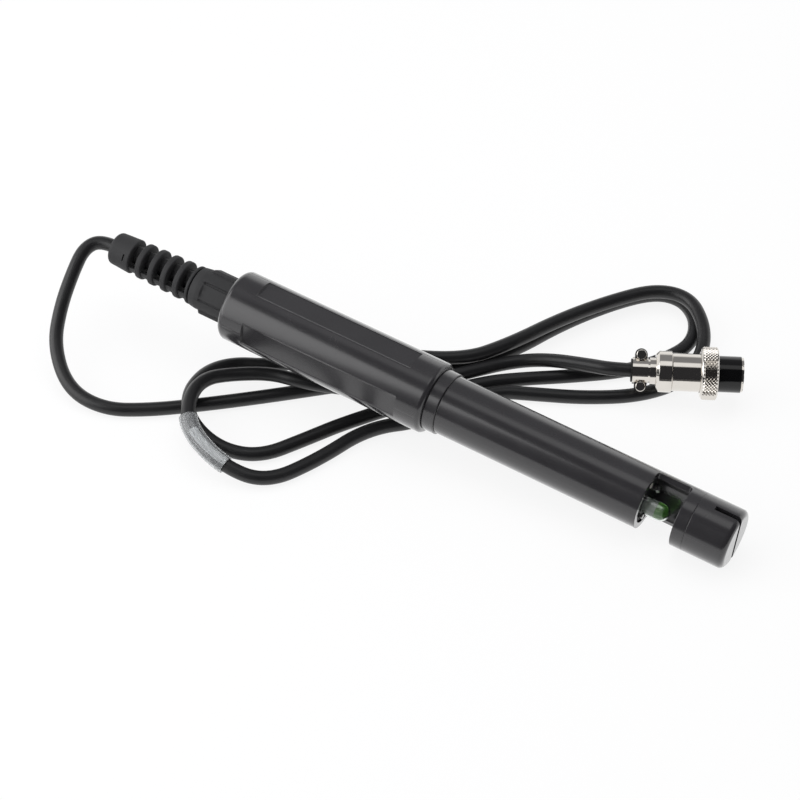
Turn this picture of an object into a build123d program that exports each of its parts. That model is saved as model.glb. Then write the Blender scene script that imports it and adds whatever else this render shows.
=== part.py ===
"""Multi-sensor pH electrode: a hand probe on its own cable, with a round screw-lock connector.

Millimetres, +Z up. The probe lies along X with its tip cap towards +X. It rests on the floor with
its cap and on a loop of its own cable with its grip, so its axis is tilted.
"""
import math
import os

from build123d import *

# Overall stations along the probe, measured from the face of the tip cap towards the cable.
CAP_LENGTH = 15.0
END_RING_LENGTH = 4.4
WINDOW_LENGTH = 12.9
BARREL_LENGTH = 77.0
COLLAR_LENGTH = 4.6
GRIP_LENGTH = 82.4
RELIEF_LENGTH = 51.2

# How the probe lies.
TILT = 4.8
MOULD_ROLL = 5.0
RELIEF_ROLL = 39.0

# Barrel, window and cap.
BARREL_RADIUS = 10.6
BARREL_BORE_RADIUS = 8.5
WINDOW_WALL_SPAN = 142.0
WINDOW_CORNER_RADIUS = 1.3
SPIGOT_RADIUS = 9.8
SPIGOT_LENGTH = 17.7
JOINT_CHAMFER = 0.25
CAP_EDGE_RADIUS = 2.0
CAP_KERF_WIDTH = 1.2
CAP_KERF_DEPTH = 9.5
CAP_BORE_RADIUS = 6.9
CAP_BORE_FLOOR = 1.0
CAP_SPIGOT_LENGTH = 3.6

# Grip, its collar and its seal.
GRIP_RADIUS = 13.0
GRIP_WALL = 2.1
GRIP_REAR_WALL = 3.0
GRIP_FRONT_EDGE = 1.5
GRIP_REAR_EDGE = 2.2
PANEL_COUNT = 4
PANEL_WIDTH = 8.8
PANEL_LENGTH = 62.0
PANEL_SETBACK = 10.0
PANEL_STEP = 0.25
COLLAR_RADIUS = 11.2
COLLAR_SPIGOT_LENGTH = 5.0
COLLAR_SPIGOT_CLEARANCE = 0.05
SEAL_THICKNESS = 1.36
SEAL_SETBACK = 9.0
SEAL_GROOVE_WIDTH = 1.8
SEAL_CLEARANCE = 0.02
NECK_CLEARANCE = 0.1

# Sensors in the barrel's end, with (y, z) places across the probe.
CORE_RECESS = 0.7
CORE_LENGTH = 39.0
GLASS_RADIUS = 3.3
GLASS_WALL = 0.6
GLASS_PROUD = 9.0
GLASS_AT = (0.5, -2.4)
GLASS_SOCKET_FLOOR = 4.0
ELECTRODE_WIRE_RADIUS = 0.35
ELECTRODE_SEAL_LENGTH = 4.0
ELECTRODE_TIP_GAP = 3.5
EC_PIN_RADIUS = 0.9
EC_PIN_PROUD = 1.6
EC_PIN_LENGTH = 9.0
EC_PINS_AT = ((3.7, 4.4), (5.2, -3.2))
THERMAL_RADIUS = 1.5
THERMAL_PROUD = 3.0
THERMAL_LENGTH = 14.0
THERMAL_AT = (-5.1, 1.1)
JUNCTION_RADIUS = 1.0
JUNCTION_PROUD = 0.2
JUNCTION_LENGTH = 4.0
JUNCTION_AT = (-1.6, 5.1)
FIT_CLEARANCE = 0.05

# Electronics in the grip.
BOARD_LENGTH = 50.0
BOARD_THICKNESS = 1.6
BOARD_SIDE_CLEARANCE = 0.15
BOARD_SETBACK = 2.0
COMPONENTS = ((9.0, -4.0, 7.0, 6.0, 2.0), (20.0, 3.5, 9.0, 7.0, 2.4), (33.0, -3.0, 6.0, 5.0, 1.8),
              (43.0, 3.0, 5.0, 9.0, 4.5))
LEAD_RADIUS = 0.5
SENSOR_LEAD_PITCH = 3.0
CABLE_LEAD_PITCH = 1.3
LEAD_COUNT = 3
CRIMP_LENGTH = 5.0
CRIMP_RADIUS = 4.4

# Strain relief: a grommet flange, a ribbed root, four free rings and an end boss.
RELIEF_FLANGE_RADIUS = 8.4
RELIEF_FLANGE_THICKNESS = 2.5
RELIEF_NECK_RADIUS = 6.4
RELIEF_ROOT_RADIUS = 7.6
RELIEF_FLAT_HALF = 7.0
RELIEF_TAPER_START_RADIUS = 7.2
RELIEF_TAPER_END_RADIUS = 6.2
RELIEF_BOSS_RADIUS = 5.9
RELIEF_BOSS_LENGTH = 9.1
RELIEF_BOSS_EDGE = 1.4
RELIEF_SLOT_COUNT = 5
RELIEF_SLOT_WIDTH = 3.2
RELIEF_SLOT_PITCH = 5.4
RELIEF_SLIT_WIDTH = 0.5
RELIEF_LAST_RING = 1.2
RELIEF_RING_ROUND = 3.0
RELIEF_VALLEY_DEPTH = 0.9
RELIEF_UPPER_WEB_RADIUS = 4.2
RELIEF_UPPER_WEB_WIDTH = 4.0
RELIEF_LOWER_WEB_GAP = 3.7
RELIEF_RIB_LENGTH = 11.0
RELIEF_RIB_WIDTH = 5.0
RELIEF_RIB_RADIUS = 8.4
RELIEF_GROOVE_PITCH = 6.6
RELIEF_GROOVE_WIDTH = 0.9
RELIEF_GROOVE_DEPTH = 0.6
RELIEF_NOTCH_SETBACK = 2.2
RELIEF_NOTCH_WIDTH = 0.6
RELIEF_NOTCH_LENGTH = 2.6
RELIEF_NOTCH_DEPTH = 0.9
RELIEF_NOTCH_DROP = 1.3

# Cable and what is on it.
CABLE_RADIUS = 2.5
CABLE_BORE_CLEARANCE = 0.05
CABLE_EXIT_RUN = 6.5
CABLE_ENTRY_RUN = 6.0
SLEEVE_START = 950.8
SLEEVE_LENGTH = 24.0
SLEEVE_WALL = 0.5
SLEEVE_CLEARANCE = 0.3
LABEL_LENGTH = 21.0
LABEL_THICKNESS = 0.12

# Connector: its place behind the strain relief's end, and stations from its own cable end.
PLUG_FROM_EXIT = (181.1, 53.7, 12.8)
PLUG_AZIMUTH = 26.7
PLUG_ROLL = 46.0
BUSH_FLANGE = 0.5
BUSH_FLANGE_RADIUS = 4.1
CLAMP_LENGTH = 5.9
CLAMP_RADIUS = 4.7
CLAMP_BORE_RADIUS = 3.5
CLAMP_SPLIT = 0.5
CLAMP_EAR_LENGTH = 4.4
CLAMP_EAR_THICKNESS = 2.0
CLAMP_SCREW_STATION = 3.4
CLAMP_SCREW_PITCH = 11.2
CLAMP_SCREW_RADIUS = 1.0
CLAMP_HEAD_RADIUS = 1.8
CLAMP_HEAD_HEIGHT = 1.2
CLAMP_HEAD_SLOT = 0.5
CLAMP_HEAD_CLEARANCE = 0.2
CLAMP_GROOVE = 0.7
CLAMP_GROOVE_RADIUS = 4.1
CLAMP_NECK_RADIUS = 4.8
CLAMP_NECK_LENGTH = 5.4
TAIL_SHELL_START = 9.1
TAIL_SHELL_LENGTH = 5.2
TAIL_SHELL_RADIUS = 7.3
TAIL_SHELL_CHAMFER = 1.1
TAIL_SHELL_REAR_WALL = 2.2
SHELL_BORE_RADIUS = 5.8
SHELL_SPIGOT_LENGTH = 3.0
SHELL_SPIGOT_WALL = 0.7
FRONT_SHELL_RADIUS = 6.7
FRONT_SHELL_LENGTH = 15.9
RING_START = 24.2
RING_LENGTH = 6.1
RING_RADIUS = 9.4
RING_LIP = 1.0
RING_CHAMFER = 1.0
RING_CLEARANCE = 0.3
FLANGE_RADIUS = 7.8
FLANGE_LENGTH = 1.2
INSERT_RADIUS = 6.4
INSERT_TAIL_LENGTH = 8.0
INSERT_LENGTH = 8.2
INSERT_KEY = (2.0, 0.8)
RIM_LENGTH = 0.8
RIM_RADIUS = 6.1
RIM_WALL = 0.7
RIM_SCALLOP_COUNT = 12
RIM_SCALLOP_DEPTH = 0.4
CONTACT_RADIUS = 0.95
CONTACT_LENGTH = 17.0
CONTACT_RECESS = 0.6
CONTACT_BORE_RADIUS = 0.5
CONTACT_BORE_LENGTH = 6.0
CONTACT_CIRCLE_RADIUS = 3.5
CONTACT_COUNT = 6
LOCK_SCREW_RADIUS = 0.9
LOCK_SCREW_LENGTH = 2.4
LOCK_SCREW_PROUD = 0.1
LOCK_SCREW_SETBACK = 1.1
LOCK_SLOT_WIDTH = 0.3

# The free cable's points, chosen by hand: x from the strain relief's end, y, and lift off the floor.
CABLE_ROUTE = (
    (-10.4, -5.2, 27.5),
    (-9.6, -13.4, 23.5),
    (-7.8, -24.9, 16.0),
    (-3.3, -36.6, 8.0),
    (9.8, -47.2, 1.8),
    (25.6, -47.9, 0.0),
    (39.8, -39.9, 0.0),
    (54.9, -27.8, 0.0),
    (70.3, -14.5, 0.0),
    (85.7, -0.4, 0.0),
    (104.6, 17.0, 0.0),
    (122.1, 34.0, 0.0),
    (135.2, 50.0, 0.0),
    (143.8, 72.4, 0.0),
    (155.0, 92.3, 0.0),
    (166.3, 106.0, 0.0),
    (177.2, 107.2, 0.0),
    (186.2, 99.1, 0.0),
    (189.7, 86.8, 0.0),
    (184.7, 74.7, 0.0),
    (175.3, 62.2, 0.0),
    (159.5, 50.0, 0.0),
    (145.3, 40.2, 0.0),
    (134.5, 31.7, 0.0),
    (120.1, 14.0, 0.0),
    (102.6, -10.4, 0.0),
    (94.8, -24.5, 0.0),
    (85.8, -39.9, 0.0),
    (72.0, -44.6, 1.0),
    (58.0, -41.6, 5.0),
    (50.1, -31.1, 5.5),
    (48.1, -17.6, 3.9),
    (52.8, -6.4, 1.7),
    (65.9, -0.5, 1.7),
    (96.6, 21.0, 5.1),
    (124.7, 33.0, 5.1),
    (135.4, 49.2, 5.2),
    (144.9, 70.6, 4.9),
    (156.3, 89.0, 4.8),
    (167.6, 102.4, 5.0),
    (180.5, 104.2, 5.5),
    (191.2, 94.1, 4.7),
    (196.1, 83.0, 1.1),
    (194.9, 66.7, 0.0),
    (185.0, 53.2, 0.0),
    (169.2, 42.8, 0.0),
    (152.1, 35.1, 0.0),
    (139.4, 29.5, 0.0),
    (126.0, 4.0, 0.0),
    (110.7, -8.9, 0.0),
    (103.8, -31.1, 0.0),
    (94.3, -49.4, 0.0),
    (78.8, -52.9, 3.4),
    (61.9, -48.5, 9.5),
    (54.8, -36.5, 11.1),
    (53.2, -24.6, 9.3),
    (58.8, -15.2, 6.3),
    (70.0, -7.5, 5.7),
    (81.5, -6.0, 6.0),
    (92.0, -1.0, 4.1),
    (107.6, 7.0, 2.7),
    (128.1, 30.7, 2.7),
    (138.4, 45.4, 1.0),
    (150.4, 50.0, 4.0),
    (165.9, 50.6, 8.1),
)

# Stations that follow from the sizes above.
RING_FRONT = CAP_LENGTH
WINDOW_FRONT = RING_FRONT + END_RING_LENGTH
WINDOW_REAR = WINDOW_FRONT + WINDOW_LENGTH
COLLAR_FRONT = WINDOW_REAR + BARREL_LENGTH
GRIP_FRONT = COLLAR_FRONT + COLLAR_LENGTH
GRIP_REAR = GRIP_FRONT + GRIP_LENGTH
RELIEF_END = GRIP_REAR + RELIEF_LENGTH
GRIP_BORE_RADIUS = GRIP_RADIUS - GRIP_WALL
CORE_FACE = WINDOW_REAR + CORE_RECESS
CORE_REAR = CORE_FACE + CORE_LENGTH
SPIGOT_REAR = COLLAR_FRONT + SPIGOT_LENGTH
BOARD_FRONT = SPIGOT_REAR + BOARD_SETBACK
BOARD_REAR = BOARD_FRONT + BOARD_LENGTH
GRIP_INNER_REAR = GRIP_REAR - GRIP_REAR_WALL
RELIEF_INNER_END = GRIP_INNER_REAR - RELIEF_FLANGE_THICKNESS
CRIMP_FRONT = RELIEF_INNER_END - CRIMP_LENGTH
SEAL_STATION = GRIP_FRONT + SEAL_SETBACK
SEAL_GROOVE_RADIUS = GRIP_BORE_RADIUS - SEAL_THICKNESS - 2 * SEAL_CLEARANCE
RELIEF_BOSS_FRONT = RELIEF_END - RELIEF_BOSS_LENGTH
RELIEF_ROOT_END = (RELIEF_BOSS_FRONT - (RELIEF_SLOT_COUNT - 1) * RELIEF_SLOT_PITCH
                   - RELIEF_SLOT_WIDTH - RELIEF_LAST_RING)
RELIEF_RIB_END = GRIP_REAR + RELIEF_RIB_LENGTH
CLAMP_NECK_END = CLAMP_LENGTH + CLAMP_GROOVE + CLAMP_NECK_LENGTH
TAIL_SHELL_END = TAIL_SHELL_START + TAIL_SHELL_LENGTH
INSERT_END = TAIL_SHELL_END + FRONT_SHELL_LENGTH + INSERT_LENGTH
LOCK_SCREW_STATION = RING_START - LOCK_SCREW_SETBACK

# The probe is modelled with +X from its cap's face towards the cable, then turned and tilted.
# Its cap's lower edge meets the floor, and the origin is under the middle of its length.
AXIS_HEIGHT = ((BARREL_RADIUS - CAP_EDGE_RADIUS) * math.cos(math.radians(TILT))
               + CAP_EDGE_RADIUS * (1 - math.sin(math.radians(TILT))))
FRONT_REACH = ((BARREL_RADIUS - CAP_EDGE_RADIUS) * math.sin(math.radians(TILT))
               + CAP_EDGE_RADIUS * (1 - math.cos(math.radians(TILT))))
REAR_REACH = ((RELIEF_END - RELIEF_BOSS_EDGE) * math.cos(math.radians(TILT))
              + (RELIEF_BOSS_RADIUS - RELIEF_BOSS_EDGE) * math.sin(math.radians(TILT))
              + RELIEF_BOSS_EDGE)
PROBE_PLACE = (Pos((REAR_REACH - FRONT_REACH) / 2, 0, AXIS_HEIGHT) * Rot(0, TILT, 0)
               * Rot(0, 0, 180))
PROBE_EXIT_X = ((REAR_REACH - FRONT_REACH) / 2
                - RELIEF_END * math.cos(math.radians(TILT)))
PLUG_PLACE = (Pos(PROBE_EXIT_X + PLUG_FROM_EXIT[0], PLUG_FROM_EXIT[1], PLUG_FROM_EXIT[2])
              * Rot(0, 0, PLUG_AZIMUTH) * Rot(PLUG_ROLL, 0, 0))


def rod(front, rear, radius, at=(0.0, 0.0)):
    """A round solid along X between two stations, centred on a (y, z) place."""
    return Pos((front + rear) / 2, at[0], at[1]) * Rot(0, 90, 0) * Cylinder(radius, rear - front)


def tube(front, rear, radius, bore, at=(0.0, 0.0)):
    """A round tube along X."""
    return rod(front, rear, radius, at) - rod(front, rear, bore, at)


def turned(*corners):
    """A solid turned about X from its (station, radius) corners."""
    return revolve(make_face(Polyline(*corners, close=True)), axis=Axis.X)


def rim(part, station, radius):
    """The circular edges of a turned part at one station and radius."""
    return part.edges().filter_by(
        lambda edge: edge.geom_type == GeomType.CIRCLE
        and abs(edge.radius - radius) < 0.01
        and abs(edge.arc_center.X - station) < 0.01
    )


def sector(front, rear, inner, outer, span):
    """A ring sector about X, centred on +Y, that covers a span in degrees."""
    corners = ((front, inner), (rear, inner), (rear, outer), (front, outer))
    face = make_face(Polyline(*corners, close=True))
    return Rot(-span / 2, 0, 0) * revolve(face, axis=Axis.X, revolution_arc=span)


# The tip: cap, barrel and sensors.


def tip_cap():
    """The slotted cap, whose thin spigot plugs into the barrel's end ring."""
    spigot_radius = BARREL_BORE_RADIUS - FIT_CLEARANCE
    spigot_end = CAP_LENGTH + CAP_SPIGOT_LENGTH
    cap = turned((0, 0), (0, BARREL_RADIUS), (CAP_LENGTH, BARREL_RADIUS), (CAP_LENGTH, spigot_radius),
                 (spigot_end, spigot_radius), (spigot_end, 0))
    cap = fillet(rim(cap, 0, BARREL_RADIUS), CAP_EDGE_RADIUS)
    cap = chamfer(rim(cap, CAP_LENGTH, BARREL_RADIUS), JOINT_CHAMFER)
    bore = rod(CAP_KERF_DEPTH + CAP_BORE_FLOOR, spigot_end, CAP_BORE_RADIUS)
    kerf = Box(2 * CAP_KERF_DEPTH, CAP_KERF_WIDTH, 3 * BARREL_RADIUS)
    return cap - bore - kerf


def barrel():
    """The slim tube, its end ring and the bridge wall over the tip window, moulded as one."""
    body = turned((RING_FRONT, BARREL_BORE_RADIUS), (RING_FRONT, BARREL_RADIUS),
                  (COLLAR_FRONT, BARREL_RADIUS), (COLLAR_FRONT, SPIGOT_RADIUS),
                  (SPIGOT_REAR, SPIGOT_RADIUS), (SPIGOT_REAR, BARREL_BORE_RADIUS))
    body = chamfer(rim(body, RING_FRONT, BARREL_RADIUS), JOINT_CHAMFER)
    body = chamfer(rim(body, COLLAR_FRONT, BARREL_RADIUS), JOINT_CHAMFER)
    body = chamfer(rim(body, SPIGOT_REAR, SPIGOT_RADIUS), JOINT_CHAMFER)
    window = sector(WINDOW_FRONT, WINDOW_REAR, BARREL_BORE_RADIUS / 2, 2 * BARREL_RADIUS,
                    360 - WINDOW_WALL_SPAN)
    corners = window.edges().filter_by(lambda edge: edge.geom_type == GeomType.LINE
                                       and abs(edge.tangent_at(0).X) < 0.01)
    window = fillet(corners, WINDOW_CORNER_RADIUS)
    seal_front = SEAL_STATION - SEAL_GROOVE_WIDTH / 2
    groove = tube(seal_front, seal_front + SEAL_GROOVE_WIDTH, GRIP_RADIUS, SEAL_GROOVE_RADIUS)
    return Rot(MOULD_ROLL, 0, 0) * (body - window - groove)


def sensor_core():
    """The moulded carrier that seals the barrel's end round the sensors."""
    core = rod(CORE_FACE, CORE_REAR, BARREL_BORE_RADIUS - FIT_CLEARANCE)
    core -= rod(CORE_FACE, CORE_REAR - GLASS_SOCKET_FLOOR, GLASS_RADIUS + FIT_CLEARANCE, GLASS_AT)
    core -= rod(CORE_FACE, CORE_REAR, ELECTRODE_WIRE_RADIUS + FIT_CLEARANCE, GLASS_AT)
    for place in EC_PINS_AT:
        core -= rod(CORE_FACE, CORE_FACE + EC_PIN_LENGTH - EC_PIN_PROUD, EC_PIN_RADIUS + FIT_CLEARANCE,
                    place)
    core -= rod(CORE_FACE, CORE_FACE + THERMAL_LENGTH - THERMAL_PROUD,
                THERMAL_RADIUS + FIT_CLEARANCE, THERMAL_AT)
    core -= rod(CORE_FACE, CORE_FACE + JUNCTION_LENGTH - JUNCTION_PROUD,
                JUNCTION_RADIUS + FIT_CLEARANCE, JUNCTION_AT)
    return core


def glass_electrode():
    """The glass bulb on its stem, closed by a glass seal round the inner electrode."""
    dome = CORE_FACE - GLASS_PROUD + GLASS_RADIUS
    rear = CORE_REAR - GLASS_SOCKET_FLOOR
    bore = GLASS_RADIUS - GLASS_WALL
    outer = rod(dome, rear, GLASS_RADIUS) + Pos(dome, 0, 0) * Sphere(GLASS_RADIUS)
    inner = rod(dome, rear - ELECTRODE_SEAL_LENGTH, bore) + Pos(dome, 0, 0) * Sphere(bore)
    wire = rod(dome, rear, ELECTRODE_WIRE_RADIUS + FIT_CLEARANCE)
    return Pos(0, *GLASS_AT) * (outer - inner - wire)


def inner_electrode():
    """The silver wire in the glass, which runs back through the carrier."""
    return rod(CORE_FACE - GLASS_PROUD + ELECTRODE_TIP_GAP, CORE_REAR, ELECTRODE_WIRE_RADIUS, GLASS_AT)


def ec_pins():
    """The two conductivity pins."""
    front = CORE_FACE - EC_PIN_PROUD
    return [rod(front, front + EC_PIN_LENGTH, EC_PIN_RADIUS, place) for place in EC_PINS_AT]


def temperature_sensor():
    """The domed metal thimble over the thermistor."""
    front = CORE_FACE - THERMAL_PROUD
    thimble = rod(front + THERMAL_RADIUS, front + THERMAL_LENGTH, THERMAL_RADIUS, THERMAL_AT)
    return thimble + Pos(front + THERMAL_RADIUS, *THERMAL_AT) * Sphere(THERMAL_RADIUS)


def reference_junction():
    """The porous ceramic disc of the reference cell."""
    front = CORE_FACE - JUNCTION_PROUD
    return rod(front, front + JUNCTION_LENGTH, JUNCTION_RADIUS, JUNCTION_AT)


# The grip and what is inside it.


def handle_housing():
    """The fat grip: a moulded tube with shallow flat panels and a rear wall for the grommet."""
    body = rod(GRIP_FRONT, GRIP_REAR, GRIP_RADIUS)
    body = fillet(rim(body, GRIP_FRONT, GRIP_RADIUS), GRIP_FRONT_EDGE)
    body = fillet(rim(body, GRIP_REAR, GRIP_RADIUS), GRIP_REAR_EDGE)
    body -= rod(GRIP_FRONT, GRIP_INNER_REAR, GRIP_BORE_RADIUS)
    body -= rod(GRIP_INNER_REAR, GRIP_REAR, RELIEF_NECK_RADIUS + NECK_CLEARANCE)
    floor = math.sqrt(GRIP_RADIUS**2 - (PANEL_WIDTH / 2) ** 2) - PANEL_STEP
    start = GRIP_FRONT + PANEL_SETBACK
    panel = Pos(start + PANEL_LENGTH / 2, 0, floor + GRIP_RADIUS) * Box(PANEL_LENGTH, PANEL_WIDTH,
                                                                         2 * GRIP_RADIUS)
    for index in range(PANEL_COUNT):
        body -= Rot(index * 360 / PANEL_COUNT, 0, 0) * panel
    return Rot(MOULD_ROLL, 0, 0) * body


def front_collar():
    """The short ring between grip and barrel, with its spigot in the grip."""
    spigot_radius = GRIP_BORE_RADIUS - COLLAR_SPIGOT_CLEARANCE
    spigot_rear = GRIP_FRONT + COLLAR_SPIGOT_LENGTH
    bore = SPIGOT_RADIUS + FIT_CLEARANCE
    collar = turned((COLLAR_FRONT, bore), (COLLAR_FRONT, COLLAR_RADIUS), (GRIP_FRONT, COLLAR_RADIUS),
                    (GRIP_FRONT, spigot_radius), (spigot_rear, spigot_radius), (spigot_rear, bore))
    collar = chamfer(rim(collar, COLLAR_FRONT, COLLAR_RADIUS), JOINT_CHAMFER)
    return chamfer(rim(collar, GRIP_FRONT, COLLAR_RADIUS), JOINT_CHAMFER)


def seal_ring():
    """The O-ring between the barrel's spigot and the grip."""
    middle = GRIP_BORE_RADIUS - SEAL_CLEARANCE - SEAL_THICKNESS / 2
    return Pos(SEAL_STATION, 0, 0) * Rot(0, 90, 0) * Torus(middle, SEAL_THICKNESS / 2)


def circuit_board():
    """The pre-amplifier board, as wide as the grip's bore."""
    reach = GRIP_BORE_RADIUS - BOARD_SIDE_CLEARANCE
    width = 2 * math.sqrt(reach**2 - (BOARD_THICKNESS / 2) ** 2)
    return Pos(BOARD_FRONT + BOARD_LENGTH / 2, 0, 0) * Box(BOARD_LENGTH, width, BOARD_THICKNESS)


def board_components():
    """The board's larger parts, which stand on its upper face."""
    pieces = []
    for station, side, length, width, height in COMPONENTS:
        place = Pos(BOARD_FRONT + station, side, BOARD_THICKNESS / 2 + height / 2)
        pieces.append(place * Box(length, width, height))
    return pieces


def lead_row(front, rear, pitch):
    """A flat row of leads, centred on the axis."""
    sides = [(index - (LEAD_COUNT - 1) / 2) * pitch for index in range(LEAD_COUNT)]
    return [rod(front, rear, LEAD_RADIUS, (side, 0)) for side in sides]


def sensor_leads():
    """The leads from the sensor carrier to the board."""
    return lead_row(CORE_REAR, BOARD_FRONT, SENSOR_LEAD_PITCH)


def cable_leads():
    """The leads from the board to the cable's end."""
    return lead_row(BOARD_REAR, CRIMP_FRONT, CABLE_LEAD_PITCH)


def cable_crimp():
    """The ferrule on the cable that stops it from pulling out through the grommet."""
    return tube(CRIMP_FRONT, RELIEF_INNER_END, CRIMP_RADIUS, CABLE_RADIUS + CABLE_BORE_CLEARANCE)


# The strain relief.


def relief_radius(station):
    """The outer radius of the tapered, slotted part at a station."""
    share = (station - RELIEF_ROOT_END) / (RELIEF_END - RELIEF_ROOT_END)
    return RELIEF_TAPER_START_RADIUS + share * (RELIEF_TAPER_END_RADIUS - RELIEF_TAPER_START_RADIUS)


def relief_slot(front, rear):
    """The cutter of one through slot, which leaves a web above and below the cable."""
    length = rear - front
    radius = relief_radius((front + rear) / 2)
    middle = (front + rear) / 2
    cutter = rod(front, rear, 2 * RELIEF_FLANGE_RADIUS)
    lower = rod(front, rear, radius - RELIEF_VALLEY_DEPTH)
    lower &= Pos(middle, 0, -RELIEF_LOWER_WEB_GAP - RELIEF_FLANGE_RADIUS) * Box(
        length, 4 * RELIEF_FLANGE_RADIUS, 2 * RELIEF_FLANGE_RADIUS)
    upper = Pos(middle, 0, RELIEF_UPPER_WEB_RADIUS / 2) * Box(length, RELIEF_UPPER_WEB_WIDTH,
                                                            RELIEF_UPPER_WEB_RADIUS)
    return cutter - lower - upper


def strain_relief():
    """The flexible moulding: grommet flange, ribbed root, free rings on two webs, and end boss."""
    body = turned((RELIEF_INNER_END, 0), (RELIEF_INNER_END, RELIEF_FLANGE_RADIUS),
                  (GRIP_INNER_REAR, RELIEF_FLANGE_RADIUS), (GRIP_INNER_REAR, RELIEF_NECK_RADIUS),
                  (GRIP_REAR, RELIEF_NECK_RADIUS), (GRIP_REAR, RELIEF_ROOT_RADIUS),
                  (RELIEF_ROOT_END - RELIEF_RING_ROUND, RELIEF_ROOT_RADIUS),
                  (RELIEF_ROOT_END, relief_radius(RELIEF_ROOT_END)),
                  (RELIEF_BOSS_FRONT, relief_radius(RELIEF_BOSS_FRONT)),
                  (RELIEF_END, RELIEF_BOSS_RADIUS), (RELIEF_END, 0))
    body = fillet(rim(body, RELIEF_END, RELIEF_BOSS_RADIUS), RELIEF_BOSS_EDGE)
    flat_front = (RELIEF_ROOT_RADIUS + RELIEF_FLAT_HALF) / 2
    root_middle = (GRIP_REAR + RELIEF_RIB_END) / 2
    root_length = RELIEF_RIB_END - GRIP_REAR
    for side in (-1, 1):
        flat = Pos(root_middle, side * (RELIEF_FLAT_HALF + RELIEF_ROOT_RADIUS), 0) * Box(
            root_length, 2 * RELIEF_ROOT_RADIUS, 4 * RELIEF_ROOT_RADIUS)
        body -= flat
        for level in (-1, 1):
            groove = Pos(root_middle, side * flat_front, level * RELIEF_GROOVE_PITCH / 2) * Box(
                root_length, flat_front * 2 - RELIEF_FLAT_HALF * 2 + 2 * RELIEF_GROOVE_DEPTH,
                RELIEF_GROOVE_WIDTH)
            body -= groove
        body += relief_rib(side)
    slot_rear = RELIEF_BOSS_FRONT
    for _ in range(RELIEF_SLOT_COUNT):
        body -= relief_slot(slot_rear - RELIEF_SLOT_WIDTH, slot_rear)
        slot_rear -= RELIEF_SLOT_PITCH
    body -= tube(RELIEF_ROOT_END - RELIEF_SLIT_WIDTH, RELIEF_ROOT_END, 2 * RELIEF_ROOT_RADIUS,
                 relief_radius(RELIEF_ROOT_END) - RELIEF_VALLEY_DEPTH)
    body -= rod(RELIEF_INNER_END, RELIEF_END, CABLE_RADIUS + CABLE_BORE_CLEARANCE)
    return Rot(RELIEF_ROLL, 0, 0) * (body - relief_notch())


def relief_notch():
    """The cutter of the small gate notch in the boss's side."""
    station = RELIEF_BOSS_FRONT + RELIEF_NOTCH_SETBACK
    face = relief_radius(station)
    return Pos(station, face, -RELIEF_NOTCH_DROP) * Box(RELIEF_NOTCH_WIDTH, 2 * RELIEF_NOTCH_DEPTH,
                                                        RELIEF_NOTCH_LENGTH)


def relief_rib(side):
    """One raised rib at the root, above or below, with a sloped end."""
    inner = RELIEF_ROOT_RADIUS / 2
    sloped = RELIEF_RIB_END + RELIEF_RIB_RADIUS - RELIEF_ROOT_RADIUS
    outline = Polyline((GRIP_REAR, 0, side * inner), (GRIP_REAR, 0, side * RELIEF_RIB_RADIUS),
                       (RELIEF_RIB_END, 0, side * RELIEF_RIB_RADIUS), (sloped, 0, side * inner),
                       close=True)
    return extrude(make_face(outline), amount=RELIEF_RIB_WIDTH / 2, both=True)


def cable_tail():
    """The cable's fixed end, inside the crimp and the strain relief."""
    return rod(CRIMP_FRONT, RELIEF_END, CABLE_RADIUS)


# The connector, along +X from its cable end, with its screws facing +Z.


def clamp_ear(side, level):
    """One ear of a clamp jaw, with its screw hole."""
    height = level * (CLAMP_SPLIT + CLAMP_EAR_THICKNESS) / 2
    reach = CLAMP_SCREW_PITCH / 2
    ear = Pos(CLAMP_SCREW_STATION, side * reach, height) * Cylinder(CLAMP_EAR_LENGTH / 2,
                                                                    CLAMP_EAR_THICKNESS)
    web_inner = CLAMP_BORE_RADIUS + FIT_CLEARANCE
    ear += Pos(CLAMP_SCREW_STATION, side * (web_inner + reach) / 2, height) * Box(
        CLAMP_EAR_LENGTH, reach - web_inner, CLAMP_EAR_THICKNESS)
    hole = Cylinder(CLAMP_SCREW_RADIUS + FIT_CLEARANCE, 4 * CLAMP_EAR_THICKNESS)
    return ear, Pos(CLAMP_SCREW_STATION, side * reach, 0) * hole


def clamp_jaw(level):
    """One half of the cable clamp, above (1) or below (-1) the split."""
    half = Pos(CLAMP_LENGTH / 2, 0, level * (CLAMP_SPLIT / 2 + CLAMP_RADIUS)) * Box(
        CLAMP_LENGTH, 4 * CLAMP_RADIUS, 2 * CLAMP_RADIUS)
    jaw = rod(BUSH_FLANGE, CLAMP_LENGTH, CLAMP_RADIUS) & half
    holes = []
    for side in (-1, 1):
        ear, hole = clamp_ear(side, level)
        jaw += ear
        holes.append(hole)
    for hole in holes:
        jaw -= hole
    return jaw - rod(0, CLAMP_LENGTH, CLAMP_BORE_RADIUS)


def clamp_base():
    """The tail nut with the clamp's fixed jaw, screwed into the tail shell."""
    nut = rod(CLAMP_LENGTH, CLAMP_LENGTH + CLAMP_GROOVE, CLAMP_GROOVE_RADIUS)
    nut += rod(CLAMP_LENGTH + CLAMP_GROOVE, CLAMP_NECK_END, CLAMP_NECK_RADIUS)
    return clamp_jaw(-1) + (nut - rod(CLAMP_LENGTH, CLAMP_NECK_END, CLAMP_BORE_RADIUS))


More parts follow.
